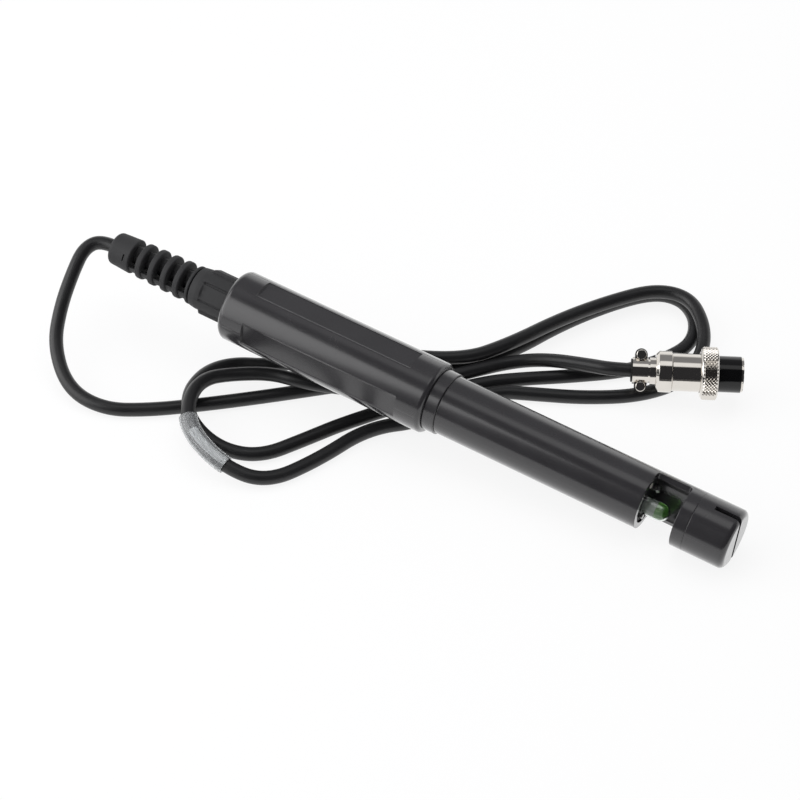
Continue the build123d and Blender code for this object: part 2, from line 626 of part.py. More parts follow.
def clamp_saddle():
    """The loose jaw of the cable clamp, with a flat seat for each screw's head."""
    seat = CLAMP_SPLIT / 2 + CLAMP_EAR_THICKNESS
    spotface = Cylinder(CLAMP_HEAD_RADIUS + CLAMP_HEAD_CLEARANCE, 2 * CLAMP_RADIUS)
    jaw = clamp_jaw(1)
    for side in (-1, 1):
        jaw -= Pos(CLAMP_SCREW_STATION, side * CLAMP_SCREW_PITCH / 2, seat + CLAMP_RADIUS) * spotface
    return jaw


def clamp_screws():
    """The clamp's two screws, with cross slots in their heads."""
    seat = CLAMP_SPLIT / 2 + CLAMP_EAR_THICKNESS
    screws = []
    for side in (-1, 1):
        shank = Cylinder(CLAMP_SCREW_RADIUS, 2 * seat)
        head = Pos(0, 0, seat + CLAMP_HEAD_HEIGHT / 2) * Cylinder(CLAMP_HEAD_RADIUS, CLAMP_HEAD_HEIGHT)
        head = fillet(head.edges().group_by(Axis.Z)[-1], CLAMP_HEAD_HEIGHT / 3)
        slot = Pos(0, 0, seat + CLAMP_HEAD_HEIGHT) * Box(CLAMP_HEAD_RADIUS * 1.3, CLAMP_HEAD_SLOT,
                                                         CLAMP_HEAD_HEIGHT)
        screw = shank + head - slot - Rot(0, 0, 90) * slot
        screws.append(Pos(CLAMP_SCREW_STATION, side * CLAMP_SCREW_PITCH / 2, 0) * Rot(0, 0, 30) * screw)
    return screws


def clamp_bush():
    """The rubber bush round the cable in the clamp, with a thin outer flange."""
    bore = CABLE_RADIUS + CABLE_BORE_CLEARANCE
    body = rod(0, BUSH_FLANGE, BUSH_FLANGE_RADIUS) + rod(BUSH_FLANGE, CLAMP_NECK_END,
                                                         CLAMP_BORE_RADIUS - FIT_CLEARANCE)
    return body - rod(0, CLAMP_NECK_END, bore)


def tail_shell():
    """The connector's rear shell, with a spigot in the front shell."""
    neck = CLAMP_NECK_RADIUS + FIT_CLEARANCE
    wall_end = TAIL_SHELL_START + TAIL_SHELL_REAR_WALL
    spigot = SHELL_BORE_RADIUS - FIT_CLEARANCE
    bore = SHELL_BORE_RADIUS - SHELL_SPIGOT_WALL
    shell = turned((TAIL_SHELL_START, neck), (TAIL_SHELL_START, TAIL_SHELL_RADIUS),
                   (TAIL_SHELL_END, TAIL_SHELL_RADIUS), (TAIL_SHELL_END, spigot),
                   (TAIL_SHELL_END + SHELL_SPIGOT_LENGTH, spigot),
                   (TAIL_SHELL_END + SHELL_SPIGOT_LENGTH, bore), (wall_end, bore), (wall_end, neck))
    shell = chamfer(rim(shell, TAIL_SHELL_START, TAIL_SHELL_RADIUS), TAIL_SHELL_CHAMFER)
    return chamfer(rim(shell, TAIL_SHELL_END, TAIL_SHELL_RADIUS), JOINT_CHAMFER)


def front_shell():
    """The connector's front shell, with the flange that holds the coupling ring."""
    end = TAIL_SHELL_END + FRONT_SHELL_LENGTH
    flange = RING_START + RING_LIP + RING_CLEARANCE
    shell = turned((TAIL_SHELL_END, SHELL_BORE_RADIUS), (TAIL_SHELL_END, FRONT_SHELL_RADIUS),
                   (flange, FRONT_SHELL_RADIUS), (flange, FLANGE_RADIUS),
                   (flange + FLANGE_LENGTH, FLANGE_RADIUS), (flange + FLANGE_LENGTH, FRONT_SHELL_RADIUS),
                   (end, FRONT_SHELL_RADIUS), (end, SHELL_BORE_RADIUS))
    shell = chamfer(rim(shell, TAIL_SHELL_END, FRONT_SHELL_RADIUS), JOINT_CHAMFER)
    return shell - locking_hole()


def locking_hole():
    """The cutter of the locking screw's hole, through the shell and into the insert."""
    hole = Cylinder(LOCK_SCREW_RADIUS + FIT_CLEARANCE, LOCK_SCREW_LENGTH)
    return Pos(LOCK_SCREW_STATION, 0, FRONT_SHELL_RADIUS - LOCK_SCREW_LENGTH / 2 + LOCK_SCREW_PROUD) * hole


def locking_screw():
    """The small slotted screw that locks the shell to the insert."""
    screw = Pos(0, 0, -LOCK_SCREW_LENGTH / 2) * Cylinder(LOCK_SCREW_RADIUS, LOCK_SCREW_LENGTH)
    screw -= Box(2 * LOCK_SCREW_RADIUS, LOCK_SLOT_WIDTH, 2 * LOCK_SLOT_WIDTH)
    return Pos(LOCK_SCREW_STATION, 0, FRONT_SHELL_RADIUS + LOCK_SCREW_PROUD) * Rot(0, 0, 40) * screw


def coupling_ring():
    """The captive ring, whose inner lip runs behind the shell's flange."""
    lip = FRONT_SHELL_RADIUS + RING_CLEARANCE
    bore = FLANGE_RADIUS + RING_CLEARANCE
    end = RING_START + RING_LENGTH
    ring = turned((RING_START, lip), (RING_START, RING_RADIUS), (end, RING_RADIUS), (end, bore),
                  (RING_START + RING_LIP, bore), (RING_START + RING_LIP, lip))
    ring = chamfer(rim(ring, RING_START, RING_RADIUS), RING_CHAMFER)
    return chamfer(rim(ring, end, RING_RADIUS), JOINT_CHAMFER)


def contact_places():
    """The (y, z) places of the contacts on their circle."""
    step = 2 * math.pi / CONTACT_COUNT
    return [(CONTACT_CIRCLE_RADIUS * math.cos(index * step), CONTACT_CIRCLE_RADIUS * math.sin(index * step))
            for index in range(CONTACT_COUNT)]


def contact_insert():
    """The black insert, with a keyway and a socket for each contact."""
    tail = SHELL_BORE_RADIUS - FIT_CLEARANCE
    seat = TAIL_SHELL_END + FRONT_SHELL_LENGTH
    rim_seat = RIM_RADIUS - RIM_WALL - FIT_CLEARANCE
    body = turned((seat - INSERT_TAIL_LENGTH, 0), (seat - INSERT_TAIL_LENGTH, tail), (seat, tail),
                  (seat, INSERT_RADIUS), (INSERT_END, INSERT_RADIUS), (INSERT_END, rim_seat),
                  (INSERT_END + RIM_LENGTH, rim_seat), (INSERT_END + RIM_LENGTH, 0))
    key_width, key_depth = INSERT_KEY
    body -= Pos((seat + INSERT_END) / 2, 0, -INSERT_RADIUS) * Box(INSERT_END - seat, key_width,
                                                                2 * key_depth)
    for place in contact_places():
        body -= rod(seat - INSERT_TAIL_LENGTH, INSERT_END + RIM_LENGTH, CONTACT_RADIUS + FIT_CLEARANCE,
                    place)
    return body - locking_hole()


def insert_rim():
    """The scalloped metal rim round the insert's face."""
    end = INSERT_END + RIM_LENGTH
    ring = tube(INSERT_END, end, RIM_RADIUS, RIM_RADIUS - RIM_WALL)
    scallop = Pos(end, 0, RIM_RADIUS) * Cylinder(RIM_SCALLOP_DEPTH, 4 * RIM_WALL)
    for index in range(RIM_SCALLOP_COUNT):
        ring -= Rot(index * 360 / RIM_SCALLOP_COUNT, 0, 0) * scallop
    return ring


def contacts():
    """The socket contacts, each with a bore for its pin."""
    end = INSERT_END + RIM_LENGTH - CONTACT_RECESS
    pieces = []
    for place in contact_places():
        contact = rod(end - CONTACT_LENGTH, end, CONTACT_RADIUS, place)
        pieces.append(contact - rod(end - CONTACT_BORE_LENGTH, end, CONTACT_BORE_RADIUS, place))
    return pieces


# The cable.


def cable_points():
    """The route's points, from the strain relief's end into the connector's bush."""
    exit_point = (PROBE_PLACE * Pos(RELIEF_END, 0, 0)).position
    onward = (PROBE_PLACE * Pos(RELIEF_END + CABLE_EXIT_RUN, 0, 0)).position
    laid = [Vector(PROBE_EXIT_X + x, y, CABLE_RADIUS + lift) for x, y, lift in CABLE_ROUTE]
    approach = (PLUG_PLACE * Pos(-CABLE_ENTRY_RUN, 0, 0)).position
    return [exit_point, onward, *laid, approach, (PLUG_PLACE * Pos(CLAMP_LENGTH, 0, 0)).position]


def bend_radii(points):
    """The radius at each inner point: as large as its two runs allow."""
    radii = []
    for before, here, after in zip(points, points[1:], points[2:]):
        arriving, leaving = here - before, after - here
        half_turn = math.radians(arriving.get_angle(leaving)) / 2
        radii.append(0.45 * min(arriving.length, leaving.length) / math.tan(half_turn))
    return radii


def cable_path():
    """The route as straight runs joined by tangent arcs."""
    points = cable_points()
    return FilletPolyline(*points, radius=bend_radii(points)).wires()[0]


def swept(section, path):
    """A section drawn about the path's start, swept along it."""
    start = Plane(path.position_at(0), z_dir=path.tangent_at(0))
    return sweep(start * section, path=path)


def cable():
    """The free cable, laid in loops."""
    return swept(Circle(CABLE_RADIUS), cable_path())


def sleeve_path(inset):
    """The stretch of the route that the label sleeve covers, shortened at both ends."""
    path = cable_path()
    front = (SLEEVE_START + inset) / path.length
    rear = (SLEEVE_START + SLEEVE_LENGTH - inset) / path.length
    return path.trim(front, rear)


def label_sleeve():
    """The clear tube on the cable."""
    inner = CABLE_RADIUS + SLEEVE_CLEARANCE
    return swept(Circle(inner + SLEEVE_WALL) - Circle(inner), sleeve_path(0))


def paper_label():
    """The paper strip between the cable and its clear tube."""
    inner = CABLE_RADIUS + (SLEEVE_CLEARANCE - LABEL_THICKNESS) / 2
    ring = Circle(inner + LABEL_THICKNESS) - Circle(inner)
    return swept(ring, sleeve_path((SLEEVE_LENGTH - LABEL_LENGTH) / 2))


PROBE_PIECES = (tip_cap, barrel, sensor_core, glass_electrode, inner_electrode, ec_pins,
                temperature_sensor, reference_junction, handle_housing, front_collar, seal_ring,
                circuit_board, board_components, sensor_leads, cable_leads, cable_crimp,
                strain_relief, cable_tail)
PLUG_PIECES = (clamp_base, clamp_saddle, clamp_screws, clamp_bush, tail_shell, front_shell,
               locking_screw, coupling_ring, contact_insert, insert_rim, contacts)
LAID_PIECES = (cable, label_sleeve, paper_label)


def placed(make, place):
    """A piece in the part's frame, as one compound of its solids."""
    made = make()
    solids = [solid for piece in (made if isinstance(made, list) else [made]) for solid in piece.solids()]
    moved = [place * solid for solid in solids]
    return moved[0] if len(moved) == 1 else Compound(children=moved)


def main():
    """Writes one STEP file for each piece, and prints how the cable's bends came out."""
    os.makedirs("parts", exist_ok=True)
    for pieces, place in ((PROBE_PIECES, PROBE_PLACE), (PLUG_PIECES, PLUG_PLACE), (LAID_PIECES, Pos())):
        for make in pieces:
            piece = placed(make, place)
            export_step(piece, f"parts/{make.__name__}.step")
            if make is cable:
                ideal = math.pi * CABLE_RADIUS**2 * cable_path().length
                print("bend radii", [round(radius, 1) for radius in bend_radii(cable_points())])
                print(f"cable length {cable_path().length:.1f}, volume ratio {piece.volume / ideal:.5f}")


if __name__ == "__main__":
    main()
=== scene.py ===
"""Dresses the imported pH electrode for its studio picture.

The CAD model is loaded as a fixed frame. Each class below stands for one sub-assembly of the real
probe: it holds that part's sizes in millimetres, builds its meshes and puts the finishes on them.
Probe pieces are drawn along +X from the tip cap's face towards the cable, and connector pieces
along +X from the connector's cable end. Two matrices put them in the shared frame, in metres.
"""

import logging
import math
from collections.abc import Callable, Sequence
from dataclasses import dataclass, field
from enum import Enum

import bmesh
import bpy
from mathutils import Matrix, Vector

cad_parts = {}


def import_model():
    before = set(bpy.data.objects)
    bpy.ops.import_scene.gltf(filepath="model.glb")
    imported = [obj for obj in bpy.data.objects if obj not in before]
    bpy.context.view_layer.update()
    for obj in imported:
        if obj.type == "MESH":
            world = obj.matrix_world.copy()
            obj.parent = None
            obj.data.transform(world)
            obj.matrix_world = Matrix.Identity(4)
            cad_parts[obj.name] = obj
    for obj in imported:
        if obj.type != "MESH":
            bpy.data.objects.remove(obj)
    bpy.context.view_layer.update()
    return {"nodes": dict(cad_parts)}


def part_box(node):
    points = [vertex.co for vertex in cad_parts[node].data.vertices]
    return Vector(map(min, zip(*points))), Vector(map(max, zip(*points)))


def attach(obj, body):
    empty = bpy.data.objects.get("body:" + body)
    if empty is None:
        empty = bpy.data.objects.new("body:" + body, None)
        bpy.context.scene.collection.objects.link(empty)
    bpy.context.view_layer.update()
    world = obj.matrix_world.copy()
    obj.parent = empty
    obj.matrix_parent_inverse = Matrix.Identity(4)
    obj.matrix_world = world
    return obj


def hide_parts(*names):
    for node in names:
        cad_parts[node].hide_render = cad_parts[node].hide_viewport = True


LOG = logging.getLogger("ph_electrode")

MM = 0.001
Profile = list[tuple[float, float]]
Relief = Callable[[float, float], float]
Skin = Callable[[float, float, float], float]

PROBE_PLACE = (Matrix.Translation((0.1231427, 0.0, 0.0104025)) @ Matrix.Rotation(math.radians(4.8), 4, "Y")
               @ Matrix.Rotation(math.pi, 4, "Z") @ Matrix.Scale(MM, 4))
MOULD_PLACE = PROBE_PLACE @ Matrix.Rotation(math.radians(5.0), 4, "X")
RELIEF_PLACE = PROBE_PLACE @ Matrix.Rotation(math.radians(39.0), 4, "X")
PLUG_PLACE = (Matrix.Translation((0.0576107, 0.0537, 0.0128)) @ Matrix.Rotation(math.radians(26.7), 4, "Z")
              @ Matrix.Rotation(math.radians(46.0), 4, "X") @ Matrix.Scale(MM, 4))


class Body(Enum):
    """The CAD bodies that the pieces ride on."""

    PROBE = "probe"
    CAP = "tip_cap"
    RING = "coupling_ring"


# Small tools.


def linear(colour: str) -> tuple[float, float, float, float]:
    """Turns an sRGB hex colour into linear RGBA.

    Args:
        colour: six hex digits, with or without a leading hash.

    Returns:
        The four linear channels, with full alpha.
    """
    digits = colour.lstrip("#")
    channels = []
    for start in (0, 2, 4):
        value = int(digits[start:start + 2], 16) / 255
        channels.append(value / 12.92 if value <= 0.04045 else ((value + 0.055) / 1.055) ** 2.4)
    return channels[0], channels[1], channels[2], 1.0


def add(tree: bpy.types.NodeTree, kind: str, settings: dict | None = None,
        inputs: dict | None = None) -> bpy.types.Node:
    """Adds one node to a tree, with its settings, values and links.

    Args:
        tree: the material, world or geometry tree.
        kind: the node's type.
        settings: the node's own properties.
        inputs: a value or an output socket for each named or numbered input.

    Returns:
        The new node.
    """
    node = tree.nodes.new(kind)
    for name, value in (settings or {}).items():
        setattr(node, name, value)
    for name, value in (inputs or {}).items():
        socket = node.inputs[name]
        if isinstance(value, bpy.types.NodeSocket):
            tree.links.new(value, socket)
        else:
            socket.default_value = value
    return node


def rounded(corners: Sequence[tuple[float, float, float]], closed: bool = True, steps: int = 5) -> Profile:
    """Rounds the corners of an outline and adds holding points beside each arc.

    Args:
        corners: (station, radius, rounding) of each corner.
        closed: whether the last corner joins the first.
        steps: the number of runs in each arc.

    Returns:
        The outline's points.
    """
    points: list[Vector] = []
    last = len(corners) - 1
    for index, (station, radius, rounding) in enumerate(corners):
        here = Vector((station, radius))
        if rounding <= 0 or (not closed and index in (0, last)):
            points.append(here)
            continue
        before = (Vector(corners[index - 1][:2]) - here).normalized()
        after = (Vector(corners[(index + 1) % len(corners)][:2]) - here).normalized()
        half = before.angle(after) / 2
        reach = rounding / math.tan(half)
        centre = here + (before + after).normalized() * (rounding / math.sin(half))
        start = here + before * reach - centre
        end = here + after * reach - centre
        turn = start.angle(end)
        points.append(here + before * reach * 1.12)
        for step in range(steps + 1):
            share = step / steps
            points.append(centre + (start * math.sin((1 - share) * turn) + end * math.sin(share * turn))
                          / math.sin(turn))
        points.append(here + after * reach * 1.12)
    return [(point.x, point.y) for point in points]


def ring_angles(count: int, extra: Sequence[float] = ()) -> list[float]:
    """Even angles round a ring, in degrees, with some more where a detail needs them."""
    even = [index * 360 / count for index in range(count)]
    clear = [angle for angle in even if all(abs((angle - more + 180) % 360 - 180) > 100 / count for more in extra)]
    return sorted(clear + [more % 360 for more in extra])


def finish_mesh(mesh: bmesh.types.BMesh, name: str, place: Matrix, sharp: float = 32.0) -> bpy.types.Object:
    """Turns working geometry into an object at the origin, smooth but for its sharp edges.

    Args:
        mesh: the working geometry, which is freed.
        name: the piece's name.
        place: from the piece's own millimetres to the frame.
        sharp: the angle in degrees over which an edge stays sharp.

    Returns:
        The new object.
    """
    bmesh.ops.transform(mesh, matrix=place, verts=mesh.verts)
    bmesh.ops.recalc_face_normals(mesh, faces=mesh.faces)
    data = bpy.data.meshes.new(name)
    mesh.to_mesh(data)
    mesh.free()
    data.shade_smooth()
    data.set_sharp_from_angle(angle=math.radians(sharp))
    piece = bpy.data.objects.new(name, data)
    bpy.context.scene.collection.objects.link(piece)
    return piece


def turned(name: str, profile: Profile, place: Matrix, angles: Sequence[float] | None = None,
           closed: bool = True, relief: Skin | None = None) -> bpy.types.Object:
    """Turns a profile about X, as on a lathe.

    Args:
        name: the piece's name.
        profile: (station, radius) points; a radius of 0 makes a pole.
        place: from the piece's own millimetres to the frame.
        angles: degrees from +Z towards +Y, 128 even ones by default.
        closed: whether the profile's last point joins its first.
        relief: what to add to the radius, from a point's station, angle and radius.

    Returns:
        The new object.
    """
    mesh = bmesh.new()
    turns = list(angles or ring_angles(128))
    rows = []
    for station, radius in profile:
        if radius < 1e-6:
            rows.append([mesh.verts.new((station, 0, 0))])
            continue
        row = []
        for angle in turns:
            reach = radius + (relief(station, angle, radius) if relief else 0.0)
            turn = math.radians(angle)
            row.append(mesh.verts.new((station, reach * math.sin(turn), reach * math.cos(turn))))
        rows.append(row)
    pairs = list(zip(rows, rows[1:])) + ([(rows[-1], rows[0])] if closed else [])
    for one, two in pairs:
        for index in range(len(turns)):
            onward = (index + 1) % len(turns)
            if len(one) == 1 and len(two) > 1:
                mesh.faces.new((one[0], two[onward], two[index]))
            elif len(two) == 1 and len(one) > 1:
                mesh.faces.new((one[index], one[onward], two[0]))
            elif len(one) > 1:
                mesh.faces.new((one[index], one[onward], two[onward], two[index]))
    return finish_mesh(mesh, name, place)


def turned_outer(name: str, profile: Profile, place: Matrix, angles: Sequence[float], reach: float,
                 relief: Relief) -> bpy.types.Object:
    """Turns a profile, with a relief on the points that lie at least so far out."""
    outer = {station for station, radius in profile if radius >= reach}

    def skin(station: float, angle: float, radius: float) -> float:
        """The relief on the outer skin, and none elsewhere."""
        return relief(station, angle) if station in outer and radius >= reach else 0.0

    return turned(name, profile, place, angles, relief=skin)

def lofted(name: str, sections: Sequence[Sequence[Vector]], place: Matrix) -> bpy.types.Object:
    """Joins closed outlines of equal length into a capped solid."""
    mesh = bmesh.new()
    rows = [[mesh.verts.new(point) for point in section] for section in sections]
    for one, two in zip(rows, rows[1:]):
        for index in range(len(one)):
            onward = (index + 1) % len(one)
            mesh.faces.new((one[index], one[onward], two[onward], two[index]))
    mesh.faces.new(rows[0])
    mesh.faces.new(rows[-1])
    return finish_mesh(mesh, name, place)


def baked(piece: bpy.types.Object) -> bpy.types.Object:
    """Turns a piece's modifiers into plain mesh."""
    graph = bpy.context.evaluated_depsgraph_get()
    made = bpy.data.meshes.new_from_object(piece.evaluated_get(graph), depsgraph=graph)
    piece.modifiers.clear()
    old = piece.data
    piece.data = made
    made.name = piece.name
    if old.users == 0:
        bpy.data.meshes.remove(old)
    return piece


def grown(name: str, tree: bpy.types.NodeTree, values: dict[str, float], place: Matrix) -> bpy.types.Object:
    """Runs a geometry tree and keeps its result as a plain mesh in the frame.

    Args:
        name: the piece's name.
        tree: the geometry tree.
        values: a value for each of its named inputs.
        place: from the piece's own millimetres to the frame.

    Returns:
        The new object.
    """
    piece = bpy.data.objects.new(name, bpy.data.meshes.new(name))
    bpy.context.scene.collection.objects.link(piece)
    modifier = piece.modifiers.new("repeat", "NODES")
    modifier.node_group = tree
    sockets = {item.name: item.identifier for item in tree.interface.items_tree if item.in_out == "INPUT"}
    for label, value in values.items():
        modifier[sockets[label]] = value
    baked(piece)
    piece.data.transform(place)
    piece.data.shade_smooth()
    piece.data.set_sharp_from_angle(angle=math.radians(32))
    return piece

def softened(piece: bpy.types.Object, width: float, angle: float = 35.0) -> bpy.types.Object:
    """Rounds a piece's sharp edges by a width in millimetres."""
    bevel = piece.modifiers.new("edge", "BEVEL")
    bevel.width = width * MM
    bevel.segments = 3
    bevel.limit_method = "ANGLE"
    bevel.angle_limit = math.radians(angle)
    bevel.use_clamp_overlap = True
    weighted = piece.modifiers.new("normals", "WEIGHTED_NORMAL")
    weighted.keep_sharp = False
    piece.data.shade_smooth()
    return baked(piece)


def cut(piece: bpy.types.Object, cutter: bpy.types.Object) -> bpy.types.Object:
    """Takes a cutter's space out of a piece and removes the cutter."""
    boolean = piece.modifiers.new("cut", "BOOLEAN")
    boolean.operation = "DIFFERENCE"
    boolean.solver = "EXACT"
    boolean.object = cutter
    baked(piece)
    bpy.data.objects.remove(cutter)
    return piece


def block(name: str, low: Sequence[float], high: Sequence[float], place: Matrix) -> bpy.types.Object:
    """A box between two corners, used as a cutter."""
    mesh = bmesh.new()
    made = bmesh.ops.create_cube(mesh, size=1.0)
    size = Vector(high) - Vector(low)
    middle = (Vector(high) + Vector(low)) / 2
    for vertex in made["verts"]:
        vertex.co = Vector(vertex.co) * 1.0
        vertex.co = Vector((vertex.co.x * size.x, vertex.co.y * size.y, vertex.co.z * size.z)) + middle
    return finish_mesh(mesh, name, place)


def dress(piece: bpy.types.Object, material: bpy.types.Material) -> bpy.types.Object:
    """Gives a whole piece one material."""
    piece.data.materials.clear()
    piece.data.materials.append(material)
    return piece


def seated(piece: bpy.types.Object, body: Body, slot: str, *nodes: str) -> bpy.types.Object:
    """Lets a piece ride on its body, in place of the CAD nodes it stands for."""
    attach(piece, body.value)
    if nodes:
        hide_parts(*nodes)
    LOG.info("%s rides on %s", piece.name, body.value)
    return piece


# The free cable's points, as in the part's source, in metres in the frame.
ROUTE = (
    (-0.1339, -0.0052, 0.0300), (-0.1331, -0.0134, 0.0260), (-0.1313, -0.0249, 0.0185),
    (-0.1268, -0.0366, 0.0105), (-0.1137, -0.0472, 0.0043), (-0.0979, -0.0479, 0.0025),
    (-0.0837, -0.0399, 0.0025), (-0.0686, -0.0278, 0.0025), (-0.0532, -0.0145, 0.0025),
    (-0.0378, -0.0004, 0.0025), (-0.0189, 0.0170, 0.0025), (-0.0014, 0.0340, 0.0025),
    (0.0117, 0.0500, 0.0025), (0.0203, 0.0724, 0.0025), (0.0315, 0.0923, 0.0025),
    (0.0428, 0.1060, 0.0025), (0.0537, 0.1072, 0.0025), (0.0627, 0.0991, 0.0025),
    (0.0662, 0.0868, 0.0025), (0.0612, 0.0747, 0.0025), (0.0518, 0.0622, 0.0025),
    (0.0360, 0.0500, 0.0025), (0.0218, 0.0402, 0.0025), (0.0110, 0.0317, 0.0025),
    (-0.0034, 0.0140, 0.0025), (-0.0209, -0.0104, 0.0025), (-0.0287, -0.0245, 0.0025),
    (-0.0377, -0.0399, 0.0025), (-0.0515, -0.0446, 0.0035), (-0.0655, -0.0416, 0.0075),
    (-0.0734, -0.0311, 0.0080), (-0.0754, -0.0176, 0.0064), (-0.0707, -0.0064, 0.0042),
    (-0.0576, -0.0005, 0.0042), (-0.0269, 0.0210, 0.0076), (0.0012, 0.0330, 0.0076),
    (0.0119, 0.0492, 0.0077), (0.0214, 0.0706, 0.0074), (0.0328, 0.0890, 0.0073),
    (0.0441, 0.1024, 0.0075), (0.0570, 0.1042, 0.0080), (0.0677, 0.0941, 0.0072),
    (0.0726, 0.0830, 0.0036), (0.0714, 0.0667, 0.0025), (0.0615, 0.0532, 0.0025),
    (0.0457, 0.0428, 0.0025), (0.0286, 0.0351, 0.0025), (0.0159, 0.0295, 0.0025),
    (0.0025, 0.0040, 0.0025), (-0.0128, -0.0089, 0.0025), (-0.0197, -0.0311, 0.0025),
    (-0.0292, -0.0494, 0.0025), (-0.0447, -0.0529, 0.0059), (-0.0616, -0.0485, 0.0120),
    (-0.0687, -0.0365, 0.0136), (-0.0703, -0.0246, 0.0118), (-0.0647, -0.0152, 0.0088),
    (-0.0535, -0.0075, 0.0082), (-0.0420, -0.0060, 0.0085), (-0.0315, -0.0010, 0.0066),
    (-0.0159, 0.0070, 0.0052), (0.0046, 0.0307, 0.0052), (0.0149, 0.0454, 0.0035),
    (0.0269, 0.0500, 0.0065), (0.0424, 0.0506, 0.0106),
)


# Finishes.


@dataclass(frozen=True)
class Finish:
    """A real material: how it takes light, and the texture that its making leaves.

    Sizes are in millimetres. The grain is the fine texture, and the drift is the slow change of
    gloss and shade that handling and shrinkage leave.
    """

    name: str
    colour: str
    shade: str
    roughness: float
    gloss_spread: float = 0.06
    metallic: float = 0.0
    ior: float = 1.5
    grain: float = 0.8
    grain_depth: float = 0.004
    drift: float = 9.0
    drift_depth: float = 0.01
    stretch: tuple[float, float, float] = (1.0, 1.0, 1.0)
    turn: tuple[float, float, float] = (0.0, 0.0, 0.0)
    transmission: float = 0.0
    coat: float = 0.0
    coat_roughness: float = 0.1

    def make(self) -> bpy.types.Material:
        """Builds the material's node tree."""
        material = bpy.data.materials.new(self.name)
        material.use_nodes = True
        tree = material.node_tree
        tree.nodes.clear()
        where = add(tree, "ShaderNodeTexCoord")
        laid = add(tree, "ShaderNodeMapping", {"vector_type": "TEXTURE"},
                   {"Vector": where.outputs["Object"], "Rotation": [math.radians(turn) for turn in self.turn],
                    "Scale": self.stretch})
        grain = add(tree, "ShaderNodeTexNoise", {}, {"Vector": laid.outputs[0], "Scale": 1 / (self.grain * MM),
                                                     "Detail": 3.0, "Roughness": 0.6})
        drift = add(tree, "ShaderNodeTexNoise", {}, {"Vector": laid.outputs[0], "Scale": 1 / (self.drift * MM),
                                                     "Detail": 2.0, "Roughness": 0.5})
        colour = add(tree, "ShaderNodeMix", {"data_type": "RGBA"},
                     {0: drift.outputs[0], 6: linear(self.colour), 7: linear(self.shade)})
        both = add(tree, "ShaderNodeMath", {"operation": "MULTIPLY_ADD"},
                   {0: grain.outputs[0], 1: 0.5, 2: drift.outputs[0]})
        gloss = add(tree, "ShaderNodeMapRange", {},
                    {0: both.outputs[0], 1: 0.45, 2: 1.05, 3: max(0.01, self.roughness - self.gloss_spread),
                     4: self.roughness + self.gloss_spread})
        broad = add(tree, "ShaderNodeBump", {}, {"Height": drift.outputs[0], "Strength": 1.0,
                                                 "Distance": self.drift_depth * MM})
        fine = add(tree, "ShaderNodeBump", {}, {"Height": grain.outputs[0], "Strength": 1.0,
                                                "Distance": self.grain_depth * MM,
                                                "Normal": broad.outputs[0]})
        shader = add(tree, "ShaderNodeBsdfPrincipled", {},
                     {"Base Color": colour.outputs[2], "Roughness": gloss.outputs[0], "Metallic": self.metallic,
                      "IOR": self.ior, "Normal": fine.outputs[0], "Transmission Weight": self.transmission,
                      "Coat Weight": self.coat, "Coat Roughness": self.coat_roughness, "Coat IOR": self.ior})
        add(tree, "ShaderNodeOutputMaterial", {}, {"Surface": shader.outputs[0]})
        return material


# Moulded ABS, spark-eroded mould: satin charcoal with a soft, even sheen.
HOUSING = Finish("satin_abs_charcoal", "272628", "2c2b2d", 0.24, 0.04, ior=1.42, grain=0.5, grain_depth=0.002,
                 drift=14.0, drift_depth=0.012, coat=1.0, coat_roughness=0.16)
# Potting and moulded carrier: the same plastic, duller, because it is cut and filled.
CORE = Finish("matt_abs_carrier", "1b1b1c", "232324", 0.55, 0.08, grain=0.6, grain_depth=0.008)
# Thermoplastic elastomer: matt, slightly dusty black that lights up only at grazing angles.
ELASTOMER = Finish("matt_elastomer", "2a2a2b", "333334", 0.66, 0.08, ior=1.4, grain=0.45, grain_depth=0.008, drift=6.0)
# Extruded PVC jacket: near black and smooth, with faint flow waves from the extruder.
JACKET = Finish("extruded_pvc_jacket", "171718", "1f1f20", 0.38, 0.06, grain=0.7, grain_depth=0.004, drift=8.0)
# Nickel plate over turned brass: a mirror, slightly warm, with faint turning marks.
NICKEL = Finish("bright_nickel_plate", "e4e0da", "d6d1ca", 0.085, 0.035, metallic=1.0, grain=0.6,
                grain_depth=0.0012, drift=5.0, drift_depth=0.004)
# Stainless steel, ground: the sensor pins.
STEEL = Finish("ground_stainless", "b9b9b8", "a5a5a4", 0.24, 0.06, metallic=1.0, grain=0.4, grain_depth=0.003)
# Chlorided silver wire: dull and a little brown.
SILVER = Finish("chlorided_silver", "9d958a", "7d756c", 0.45, 0.08, metallic=1.0, grain=0.4)
# Phenolic moulding: jet black, polished by its mould.
PHENOLIC = Finish("polished_phenolic", "070708", "0b0b0c", 0.12, 0.03, ior=1.45, grain=0.7, grain_depth=0.001,
                  drift=6.0, drift_depth=0.003)
# Gold flash over brass: the socket contacts.
GOLD = Finish("gold_flash", "d9b56a", "c79f57", 0.2, 0.05, metallic=1.0, grain=0.5)
# Porous alumina: chalky white.
CERAMIC = Finish("porous_alumina", "d9d6cc", "c6c2b6", 0.85, 0.05, grain=0.3, grain_depth=0.02)
# Nitrile rubber: matt black.
NITRILE = Finish("nitrile_rubber", "141414", "1d1d1d", 0.6, 0.08, grain=0.5, grain_depth=0.006)
# Coated paper strip: clean white, faintly fibrous.
PAPER = Finish("coated_paper", "f2f2f2", "e8e8e9", 0.5, 0.08, grain=0.35, grain_depth=0.006, drift=4.0)
# Flexible vinyl tube: clear, with a slightly wavy, greasy gloss.
VINYL = Finish("clear_vinyl", "d8dadb", "cfd1d2", 0.16, 0.05, ior=1.45, transmission=0.86, grain=1.6,
               grain_depth=0.01, drift=5.0, drift_depth=0.03)
